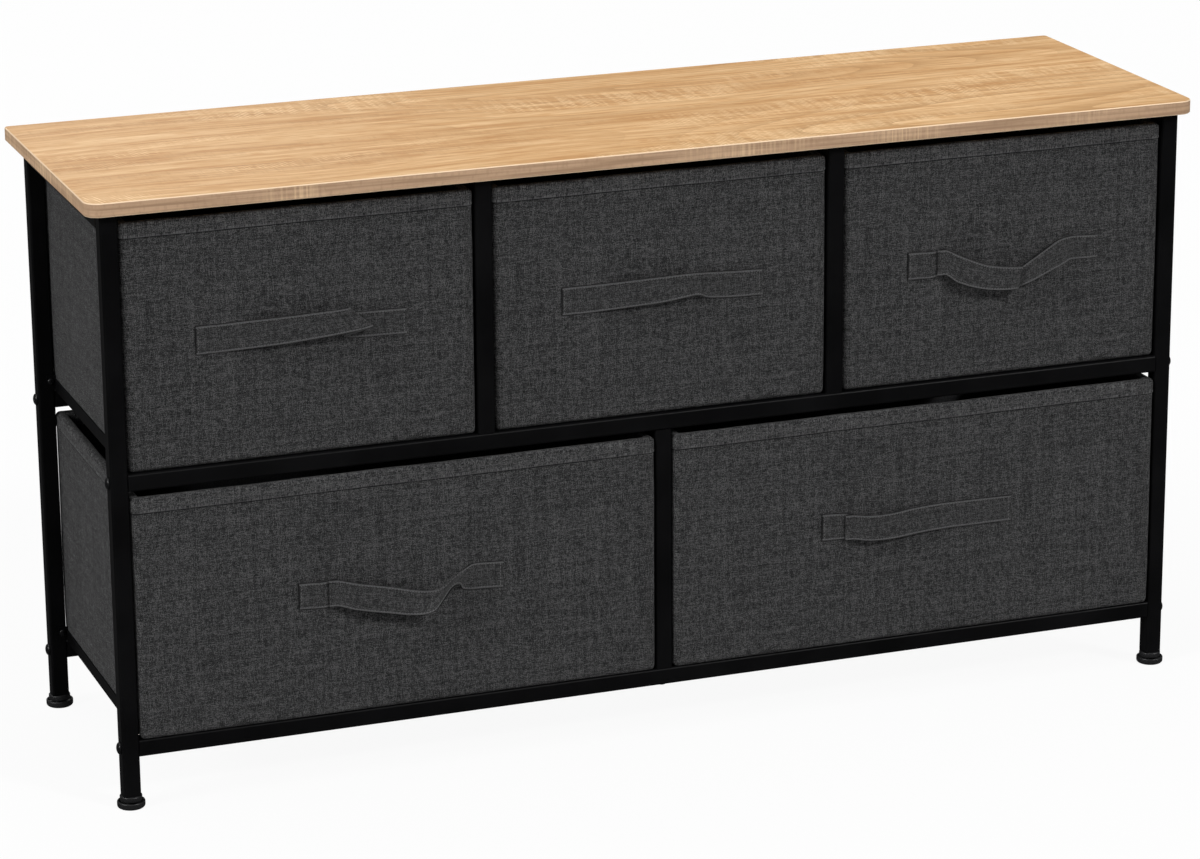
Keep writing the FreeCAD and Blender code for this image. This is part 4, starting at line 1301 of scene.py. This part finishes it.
@dataclass
class StrapHandle:
    """A strap of doubled cloth, sewn flat at both ends and standing off in between."""

    cover: DrawerCover
    thickness: float = 1.6 * MM
    edge_stitch: float = 1.8 * MM
    edge_ridge: float = 0.30 * MM
    stitch_depth: float = 0.42 * MM
    stitch_pitch: float = 2.7 * MM
    stitch: Pair = (2.3 * MM, 0.62 * MM)
    end_stitch: float = 2.2 * MM
    end_stitches: int = 7
    turned_end: float = 20.0 * MM
    turned_depth: float = 1.1 * MM
    turned_slope: float = 2.0 * MM
    groove_width: float = 0.45 * MM
    groove_pucker: float = 0.45
    ridge_slope: float = 0.6 * MM
    end_share: float = 0.8
    half_width: float = 12.5 * MM
    steps: int = 260
    across_steps: int = 26
    middle: np.ndarray = field(init=False)
    half: np.ndarray = field(init=False)
    facing: np.ndarray = field(init=False)
    walked: np.ndarray = field(init=False)
    width: np.ndarray = field(init=False)

    def __post_init__(self) -> None:
        """Works out the middle line, its half widths as vectors, its facing and its distances."""
        top, low = self.edges()
        self.middle, self.half = (top + low) / 2, (top - low) / 2
        self.facing = unit(np.cross(np.gradient(self.middle, axis=0), self.half))
        self.walked = walked_along(self.middle)
        self.width = np.linalg.norm(self.half, axis=1, keepdims=True)

    def edges(self) -> list[np.ndarray]:
        """The upper and lower edge of the strap's middle layer, in the dresser's place.

        Returns:
            Two lines of points.
        """
        size = self.cover.size
        rows = smooth_rows(np.array(StrapShapes.of(size.bay)) * MM, self.steps * 4)
        own = walked_along((rows[:, :3] + rows[:, 3:]) / 2)
        rows = read_at(np.linspace(0, own[-1], self.steps), own, rows)
        lines = []
        for along, out, up in (rows[:, :3].T, rows[:, 3:].T):
            out = out + self.cover.front_swell(along, up)
            lines.append(np.stack([along + size.centre_x, size.front_y - out, up + size.floor_z], axis=1))
        return lines

    def build(self, finishes: Finishes) -> Piece:
        """Builds the strap.

        A flat rounded section is carried along the middle line: across it the thickness is a
        constant that closes in a superellipse at both edges, plus a ridge where the edge is
        folded in, less a narrow groove under each row of stitches. Each end is turned under
        once, so there the back reaches down to the drawer's cloth. Both ends are closed.

        Args:
            finishes: The finishes.

        Returns:
            The strap.
        """
        turn = np.linspace(0, math.pi, self.across_steps + 1)
        across = np.sign(np.cos(turn)) * np.abs(np.cos(turn)) ** 0.75
        from_edge = (1 - np.abs(across)) * self.width
        round_edge = (1 - np.abs(across) ** 14) ** 0.5
        groove = np.exp(-(((from_edge - self.edge_stitch) / self.groove_width) ** 2))
        wave = np.sin(math.tau * self.walked / self.stitch_pitch)[:, None]
        pucker = 1 + self.groove_pucker * wave
        ridge = np.clip((self.edge_stitch - from_edge) / self.ridge_slope, 0, 1) * self.edge_ridge
        thick = round_edge * (self.thickness / 2 + ridge) - self.stitch_depth * groove * pucker
        thick = np.clip(thick, 0, None)
        thick[[0, -1]] *= self.end_share
        from_end = np.minimum(self.walked, self.walked[-1] - self.walked)[:, None]
        folded = np.clip((self.turned_end - from_end) / self.turned_slope, 0, 1) * self.turned_depth
        spine = self.middle[:, None, :] + self.half[:, None, :] * across[None, :, None]
        front = spine + self.facing[:, None, :] * thick[..., None]
        back = spine - self.facing[:, None, :] * (thick + folded * round_edge)[..., None]
        loop = np.concatenate([front, back[:, -2::-1]], axis=1)
        rows, columns = loop.shape[:2]
        faces = grid_faces(rows, columns).tolist()
        faces.append(list(range(columns - 1))[::-1])
        faces.append([(rows - 1) * columns + number for number in range(columns - 1)])
        place = np.concatenate([across, across[-2::-1]]) * self.half_width
        piece = mesh_object(f"{self.cover.size.name}_strap", loop, faces)
        set_uv(piece, np.stack(np.broadcast_arrays(self.walked[:, None], place[None, :]), axis=2))
        close_up(piece)
        finishes.dress(piece, Slot.WEBBING)
        return piece

    def seam_stitches(self, finishes: Finishes) -> Piece:
        """Rows of stitches along both edges and across both ends.

        Args:
            finishes: The finishes.

        Returns:
            The stitches.
        """
        raised = self.thickness / 2
        groups = []
        for side in (1.0, -1.0):
            reach = self.half / self.width * (self.width - self.edge_stitch) * side
            line = self.middle + reach + self.facing * (raised - 0.06 * MM)
            own = walked_along(line)
            spots = np.arange(self.stitch_pitch / 2, own[-1], self.stitch_pitch)
            rows = (line, np.gradient(line, axis=0), self.facing)
            groups.append([read_at(spots, own, row) for row in rows])
        share = np.linspace(-0.78, 0.78, self.end_stitches)[:, None]
        for distance in (self.end_stitch, self.walked[-1] - self.end_stitch):
            rows = (self.middle, self.half, self.facing)
            base, reach, look = (read_at(distance, self.walked, row) for row in rows)
            put = base + reach * share + look * (raised - 0.02 * MM)
            groups.append([put, np.tile(reach, (len(share), 1)), np.tile(look, (len(share), 1))])
        places, ways, normals = (np.concatenate(column) for column in zip(*groups))
        name = f"{self.cover.size.name}_strap_stitches"
        piece = stitches(name, places, ways, normals, *self.stitch)
        finishes.sew(piece)
        return piece


@dataclass
class Drawers:
    """The five drawers: a cloth cover, its hem stitches, a strap and its stitches for each."""

    upper_width: float = 299.8333 * MM
    lower_width: float = 460.0 * MM
    upper_floor: float = 296.5 * MM
    lower_floor: float = 62.5 * MM
    upper_front: float = -137.5 * MM
    lower_front: float = -141.5 * MM
    upper_step: float = 320.3333 * MM
    lower_step: float = 240.25 * MM
    first_seed: int = 11
    sizes: list[DrawerSize] = field(init=False)

    def __post_init__(self) -> None:
        """Sets out the five drawers from the sizes of the two rows."""
        upper = (self.upper_width, self.upper_front, self.upper_floor)
        lower = (self.lower_width, self.lower_front, self.lower_floor)
        self.sizes = [
            DrawerSize(Bay.TOP_LEFT, -self.upper_step, *upper),
            DrawerSize(Bay.TOP_MIDDLE, 0.0, *upper),
            DrawerSize(Bay.TOP_RIGHT, self.upper_step, *upper),
            DrawerSize(Bay.BOTTOM_LEFT, -self.lower_step, *lower),
            DrawerSize(Bay.BOTTOM_RIGHT, self.lower_step, *lower),
        ]

    def build(self, finishes: Finishes) -> list[Piece]:
        """Builds all the drawers' cloth pieces and sets them on their bodies.

        Args:
            finishes: The finishes.

        Returns:
            The pieces.
        """
        made = []
        for number, size in enumerate(self.sizes):
            cover = DrawerCover(size, seed=self.first_seed + number)
            box = cover.build(finishes)
            sewing = cover.hem_stitches(finishes)
            strap = StrapHandle(cover)
            band = strap.build(finishes)
            band_sewing = strap.seam_stitches(finishes)
            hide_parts(f"{size.name}_drawer_cover")
            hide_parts(f"{size.name}_strap_handle")
            for piece in (box, sewing, band, band_sewing):
                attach(piece, f"{size.name}_drawer")
            made += [box, sewing, band, band_sewing]
        return made


# ---------------------------------------------------------- fasteners and feet


@dataclass(frozen=True)
class CasePlan:
    """Places in the case that fasteners, feet and sockets share."""

    post: float = 480.5 * MM
    front_row: float = -134.0 * MM
    rear_row: float = 125.0 * MM
    bottom_rail: float = 53.5 * MM
    middle_rail: float = 287.5 * MM
    divider: float = 160.1667 * MM
    half_tube: float = 7.5 * MM
    bars_underside: float = 502.0 * MM

    @property
    def rows(self) -> Pair:
        """The front and the rear row of posts."""
        return self.front_row, self.rear_row


@dataclass(frozen=True)
class DomedPin:
    """A domed head on a round shank."""

    head: float
    height: float
    lip: float
    shank: float
    length: float
    chamfer: float = 0.4 * MM

    def shape(self, steps: int = 40) -> Shape:
        """An elliptic cap, a short rounded lip and a plain pin, turned about Z.

        Args:
            steps: How many sides the round has.

        Returns:
            The points and the quads.
        """
        head, lip, shank = self.head / 2, self.lip, self.shank / 2
        cap = arc((0.0, lip), (head, self.height - lip), 90, 8, 9)
        rim = arc((head - lip / 2, lip / 2), lip / 2, 20, -90, 4)
        pin = [(shank, 0.0), (shank, -self.length + self.chamfer), (shank - self.chamfer, -self.length)]
        return spun([*cap, *rim, *pin, (0.0, -self.length)], steps)


@dataclass
class FrameFasteners:
    """The bolts and screws of the case, with smooth domed heads."""

    plan: CasePlan
    post_bolt: DomedPin = DomedPin(10.6 * MM, 3.2 * MM, 0.5 * MM, 6.0 * MM, 27.0 * MM)
    divider_screw: DomedPin = DomedPin(8.4 * MM, 2.2 * MM, 0.4 * MM, 4.0 * MM, 22.0 * MM)
    low_screw: DomedPin = DomedPin(8.4 * MM, 0.8 * MM, 0.3 * MM, 4.0 * MM, 22.0 * MM)
    ear_screw: DomedPin = DomedPin(6.2 * MM, 1.9 * MM, 0.3 * MM, 3.0 * MM, 6.0 * MM)
    board_screw: DomedPin = DomedPin(8.4 * MM, 2.2 * MM, 0.4 * MM, 4.0 * MM, 23.0 * MM)
    ear_width: float = 7.2 * MM
    ear_thickness: float = 1.2 * MM
    ear_rise: float = 9.8 * MM
    drawer_play: float = 5.5 * MM
    board_rows: Pair = (-81.5 * MM, 72.5 * MM)

    def post_bolts(self) -> Piece:
        """The eight domed bolts through the posts into the long rails.

        Returns:
            The bolts.
        """
        spots = [
            ((side * (self.plan.post + self.plan.half_tube), row, height), (side, 0.0, 0.0))
            for side in (-1.0, 1.0)
            for row in self.plan.rows
            for height in (self.plan.bottom_rail, self.plan.middle_rail)
        ]
        piece = copies("domed_post_bolts", (self.post_bolt.shape(), spots))
        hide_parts("post_bolts")
        return piece

    def divider_screws(self) -> Piece:
        """Six domed screws up into the dividers and two flat ones down into the lower ones.

        Returns:
            The screws.
        """
        plan = self.plan
        up_spots, down_spots = [], []
        for row in plan.rows:
            for place in (-plan.divider, plan.divider):
                up_spots.append(((place, row, plan.middle_rail - plan.half_tube), DOWNWARDS))
            up_spots.append(((0.0, row, plan.bottom_rail - plan.half_tube), DOWNWARDS))
            down_spots.append(((0.0, row, plan.middle_rail + plan.half_tube), UPWARDS))
        groups = (self.divider_screw.shape(), up_spots), (self.low_screw.shape(), down_spots)
        piece = copies("domed_divider_screws", *groups)
        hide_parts("divider_screws")
        return piece

    def ear_screws(self, sizes: Sequence[DrawerSize]) -> Piece:
        """The small screws that hold each runner's ears to the posts and dividers.

        Args:
            sizes: The drawers, whose bays the runners lie in.

        Returns:
            The screws.
        """
        plan = self.plan
        stand = plan.half_tube + self.ear_thickness
        spots = []
        for size in sizes:
            rail = plan.middle_rail if size.floor_z > plan.middle_rail else plan.bottom_rail
            reach = (size.width + self.drawer_play + self.ear_width) / 2
            height = rail + plan.half_tube + self.ear_rise
            for side in (-1.0, 1.0):
                for row, way in zip(plan.rows, (1.0, -1.0)):
                    place = (size.centre_x + side * reach, row + way * stand, height)
                    spots.append((place, (0.0, way, 0.0)))
        return copies("runner_ear_screws", (self.ear_screw.shape(28), spots))

    def board_screws(self) -> Piece:
        """The eight screws up through the top bars into the board.

        Returns:
            The screws.
        """
        spots = [
            ((side * place, row, self.plan.bars_underside), DOWNWARDS)
            for side in (-1.0, 1.0)
            for place in (self.plan.post, self.plan.divider)
            for row in self.board_rows
        ]
        return copies("board_screws", (self.board_screw.shape(32), spots))

    def build(self, finishes: Finishes, sizes: Sequence[DrawerSize]) -> list[Piece]:
        """Builds all the case's fasteners.

        Args:
            finishes: The finishes.
            sizes: The drawers.

        Returns:
            The pieces.
        """
        made = [self.post_bolts(), self.divider_screws(), self.ear_screws(sizes), self.board_screws()]
        for piece in made:
            finishes.dress(piece, Slot.FASTENERS)
            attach(piece, "case")
        return made


@dataclass
class LevellingFeet:
    """Four screw feet: a disc with a rolled rim, a hollow upper face, a shoulder and a stud."""

    plan: CasePlan
    disc: float = 24.0 * MM
    disc_height: float = 5.0 * MM
    rim: float = 0.9 * MM
    rim_top: float = 5.9 * MM
    sole_edge: float = 2.2 * MM
    sole_inset: float = 3.5 * MM
    cup_depth: float = 1.2 * MM
    cup_bend: float = 0.8 * MM
    shoulder: float = 10.0 * MM
    shoulder_rise: float = 0.95 * MM
    shoulder_bend: float = 0.4 * MM
    shoulder_foot: float = 0.5 * MM
    stud: float = 6.0 * MM
    stud_top: float = 23.8 * MM
    thread_pitch: float = 1.0 * MM
    thread_depth: float = 0.25 * MM

    def profile(self) -> list[Pair]:
        """The foot's profile, from the top of the stud to the middle of its sole.

        The rim's top is half a circle. The thread is a row of small ridges.

        Returns:
            Radius and height pairs.
        """
        stud, neck, edge = self.stud / 2, self.shoulder / 2, self.disc / 2
        line = [(0.0, self.stud_top), (stud - 0.5 * MM, self.stud_top)]
        thread_end = self.disc_height + 1.2 * MM
        turns = np.arange(self.stud_top - 0.6 * MM, thread_end, -self.thread_pitch / 2)
        ridge = stud - self.thread_depth * (np.arange(len(turns)) % 2)
        line += list(zip(ridge.tolist(), turns.tolist()))
        top = self.disc_height + self.shoulder_rise
        line += [(stud - 0.2 * MM, top)]
        bend = self.shoulder_bend
        line += arc((neck - bend, top - bend), bend, 90, 0, 3)
        floor, foot = self.disc_height - self.cup_depth, self.shoulder_foot
        line += arc((neck + foot, floor + foot), foot, 180, 270, 3)
        inside = edge - 2 * self.rim - self.cup_bend
        line += arc((inside, floor + self.cup_bend), self.cup_bend, 270, 360, 4)
        line += arc((edge - self.rim, self.rim_top - self.rim), self.rim, 180, 0, 9)
        line += arc((edge - self.sole_edge, self.sole_edge), self.sole_edge, 0, -90, 7)
        return [*line, (edge - self.sole_inset, 0.0), (0.0, 0.0)]

    def build(self, finishes: Finishes) -> list[Piece]:
        """Builds the four feet, each on its own body.

        Args:
            finishes: The finishes.

        Returns:
            The feet.
        """
        shape = spun(self.profile(), 56)
        made = []
        for row, y in zip(("front", "rear"), self.plan.rows):
            for side, x in (("left", -self.plan.post), ("right", self.plan.post)):
                piece = copies(f"screw_foot_{row}_{side}", (shape, [((x, y, 0.0), UPWARDS)]))
                finishes.dress(piece, Slot.PLASTIC)
                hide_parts(f"levelling_foot_{row}_{side}")
                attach(piece, f"foot_{row}_{side}")
                made.append(piece)
        return made


@dataclass
class FootSockets:
    """Four moulded plugs in the posts' feet: a rounded collar, a square plug and a bore."""

    plan: CasePlan
    collar: float = 19.2 * MM
    collar_height: float = 5.0 * MM
    rounding: float = 1.1 * MM
    plug: float = 12.4 * MM
    plug_height: float = 22.0 * MM
    bore: float = 6.16 * MM
    underside: float = 6.0 * MM

    def shape(self, steps: int = 48) -> Shape:
        """The socket's points and faces, with its underside at zero.

        The profile is turned about Z. The plug's rows are then drawn out to a square: the
        radius is divided by the larger of |cos a| and |sin a|.

        Args:
            steps: How many sides the round has.

        Returns:
            The points and the quads.
        """
        bore, bend, height = self.bore / 2, self.rounding, self.collar_height
        low = arc((self.collar / 2 - bend, bend), bend, -90, 0, 5)
        high = arc((self.collar / 2 - bend, height - bend), bend, 0, 90, 5)
        top = height + self.plug_height
        plug = [(self.plug / 2, height), (self.plug / 2, top)]
        profile = [(bore, 0.0), *low, *high, *plug, (bore, top), (bore, 0.0)]
        points, faces = spun(profile, steps)
        rows = points.reshape(len(profile), steps + 1, 3)
        before = 1 + len(low) + len(high)
        square = slice(before, before + len(plug))
        rows[square, :, :2] /= np.abs(rows[square, :, :2]).max(axis=2, keepdims=True) / (self.plug / 2)
        return rows.reshape(-1, 3), faces

    def build(self, finishes: Finishes) -> Piece:
        """Builds the four sockets.

        Args:
            finishes: The finishes.

        Returns:
            The sockets.
        """
        sides = (-self.plan.post, self.plan.post)
        spots = [((x, y, self.underside), UPWARDS) for y in self.plan.rows for x in sides]
        piece = copies("moulded_foot_sockets", (self.shape(), spots))
        finishes.dress(piece, Slot.PLASTIC)
        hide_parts("foot_sockets")
        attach(piece, "case")
        return piece


# ------------------------------------------------------------------- studio


@dataclass(frozen=True)
class FarLamp:
    """A lamp far away: its strength, how many degrees wide it looks, and the way to it."""

    name: str
    energy: float
    spread: float
    towards: Triple


@dataclass
class Studio:
    """A pale floor, even soft light and the camera."""

    lens_pixels: float = 4257.0
    picture_width: float = 1200.0
    sensor: float = 36.0
    yaw: float = 0.3519
    pitch: float = -0.3004
    roll: float = -0.0082
    place: Triple = (-1.259, -3.411, 1.366)
    view_reach: float = 200.0
    floor_reach: float = 30.0
    floor_tone: Triple = (0.60, 0.60, 0.60)
    floor_white: float = 0.935
    sky: float = 0.25
    mirrored_sky: float = 0.16
    mirrored_floor: float = 0.07
    key: FarLamp = FarLamp("key", 2.15, 8.0, (0.62, -0.85, 0.74))
    side: FarLamp = FarLamp("side", 2.15, 20.0, (-1.0, -0.26, 0.60))
    top: FarLamp = FarLamp("top", 1.15, 50.0, (-0.35, 0.25, 1.6))
    card_size: Pair = (1.5, 1.0)
    card_energy: float = 5.0
    card_place: Triple = (0.0, 3.2, 1.45)
    card_lean: Pair = (0.45, -0.53)

    def camera(self) -> None:
        """Sets the camera: yaw turns it right, pitch tips it down and roll turns it about its view."""
        lens = bpy.data.cameras.new("camera")
        lens.sensor_width = self.sensor
        lens.sensor_fit = "HORIZONTAL"
        lens.lens = self.lens_pixels / self.picture_width * self.sensor
        lens.clip_end = self.view_reach
        forward = np.array([math.sin(self.yaw), math.cos(self.yaw), 0.0])
        right = np.array([math.cos(self.yaw), -math.sin(self.yaw), 0.0])
        up = np.array(UPWARDS)
        look = forward * math.cos(self.pitch) + up * math.sin(self.pitch)
        rise = up * math.cos(self.pitch) - forward * math.sin(self.pitch)
        side = right * math.cos(self.roll) + rise * math.sin(self.roll)
        top = rise * math.cos(self.roll) - right * math.sin(self.roll)
        view = bpy.data.objects.new("camera", lens)
        matrix = np.eye(4)
        matrix[:3] = np.stack([side, top, -look, self.place], axis=1)
        view.matrix_world = Matrix(matrix.tolist())
        bpy.context.scene.collection.objects.link(view)
        bpy.context.scene.camera = view

    def floor(self) -> None:
        """A pale floor that shows white to the camera and keeps the dresser's soft shadow.

        Glossy surfaces see it dim, as they do between dark flags, so that black stays black.
        """
        signs = np.array([[-1.0, -1.0, 0.0], [1.0, -1.0, 0.0], [1.0, 1.0, 0.0], [-1.0, 1.0, 0.0]])
        plane = mesh_object("studio_floor", signs * self.floor_reach, [[0, 1, 2, 3]], smooth=False)
        graph = NodeGraph.of_material("pale_floor")
        path = graph.node("LightPath").outputs
        mirrored = path["Is Glossy Ray"]
        dimmed = graph.math("MULTIPLY_ADD", mirrored, self.mirrored_floor - 1.0, 1.0)
        direct = graph.math("MAXIMUM", path["Is Camera Ray"], path["Is Transmission Ray"])
        share = graph.math("MULTIPLY_ADD", direct, self.floor_white, mirrored)
        mixed = graph.node("MixShader", Fac=share)
        graph.put(mixed.inputs[1], graph.node("BsdfDiffuse", Color=self.floor_tone).outputs[0])
        graph.put(mixed.inputs[2], graph.node("Emission", Color=WHITE, Strength=dimmed).outputs[0])
        plane.data.materials.append(graph.end("Material", mixed))

    def sky_light(self) -> None:
        """An even sky: white to the camera, dimmer as a light and dimmer still in mirrors."""
        graph = NodeGraph(bpy.data.worlds.new("studio"))
        path = graph.node("LightPath").outputs
        strength: float | Socket = self.sky
        seen_by = {"Is Glossy Ray": self.mirrored_sky, "Is Camera Ray": 1.0, "Is Transmission Ray": 1.0}
        for ray, seen in seen_by.items():
            strength = graph.math("MULTIPLY_ADD", path[ray], seen - self.sky, strength)
        background = graph.node("Background", Color=WHITE, Strength=strength)
        bpy.context.scene.world = graph.end("World", background)

    def lamps(self) -> None:
        """Far lamps in front, on the left and above, and a soft card behind."""
        for far in (self.key, self.side, self.top):
            lamp = bpy.data.lights.new(f"{far.name}_lamp", "SUN")
            lamp.energy = far.energy
            lamp.angle = math.radians(far.spread)
            self.hang(lamp, (0.0, 0.0, 0.0), far.towards)
        card = bpy.data.lights.new("card_lamp", "AREA")
        card.shape = "RECTANGLE"
        card.size, card.size_y = self.card_size
        card.energy = self.card_energy
        x, y, z = self.card_place
        self.hang(card, self.card_place, (x + self.card_lean[0], y, z + self.card_lean[1]))

    @staticmethod
    def hang(lamp: bpy.types.Light, place: Triple, away: Triple) -> None:
        """Hangs a lamp so that it shines against a direction.

        Args:
            lamp: The lamp.
            place: Where it hangs.
            away: The way from what it lights to the lamp.
        """
        holder = bpy.data.objects.new(lamp.name, lamp)
        holder.location = place
        holder.rotation_mode = "QUATERNION"
        holder.rotation_quaternion = Vector(away).to_track_quat("Z", "Y")
        bpy.context.scene.collection.objects.link(holder)

    def build(self) -> None:
        """Builds the studio."""
        bpy.context.scene.view_settings.view_transform = "Standard"
        self.camera()
        self.floor()
        self.sky_light()
        self.lamps()


def main() -> None:
    """Builds the dresser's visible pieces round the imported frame."""
    logging.basicConfig(level=logging.INFO, format="%(name)s: %(message)s")
    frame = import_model()
    finishes = Finishes()
    finishes.dress_nodes(frame["nodes"], frame["record"])
    drawers = Drawers()
    plan = CasePlan()
    made = drawers.build(finishes)
    made += FrameFasteners(plan).build(finishes, drawers.sizes)
    made += LevellingFeet(plan).build(finishes)
    made.append(FootSockets(plan).build(finishes))
    Studio().build()
    for piece in made:
        LOG.info("%s: %d faces", piece.name, len(piece.data.polygons))
    bpy.context.view_layer.update()


if __name__ == "__main__":
    main()
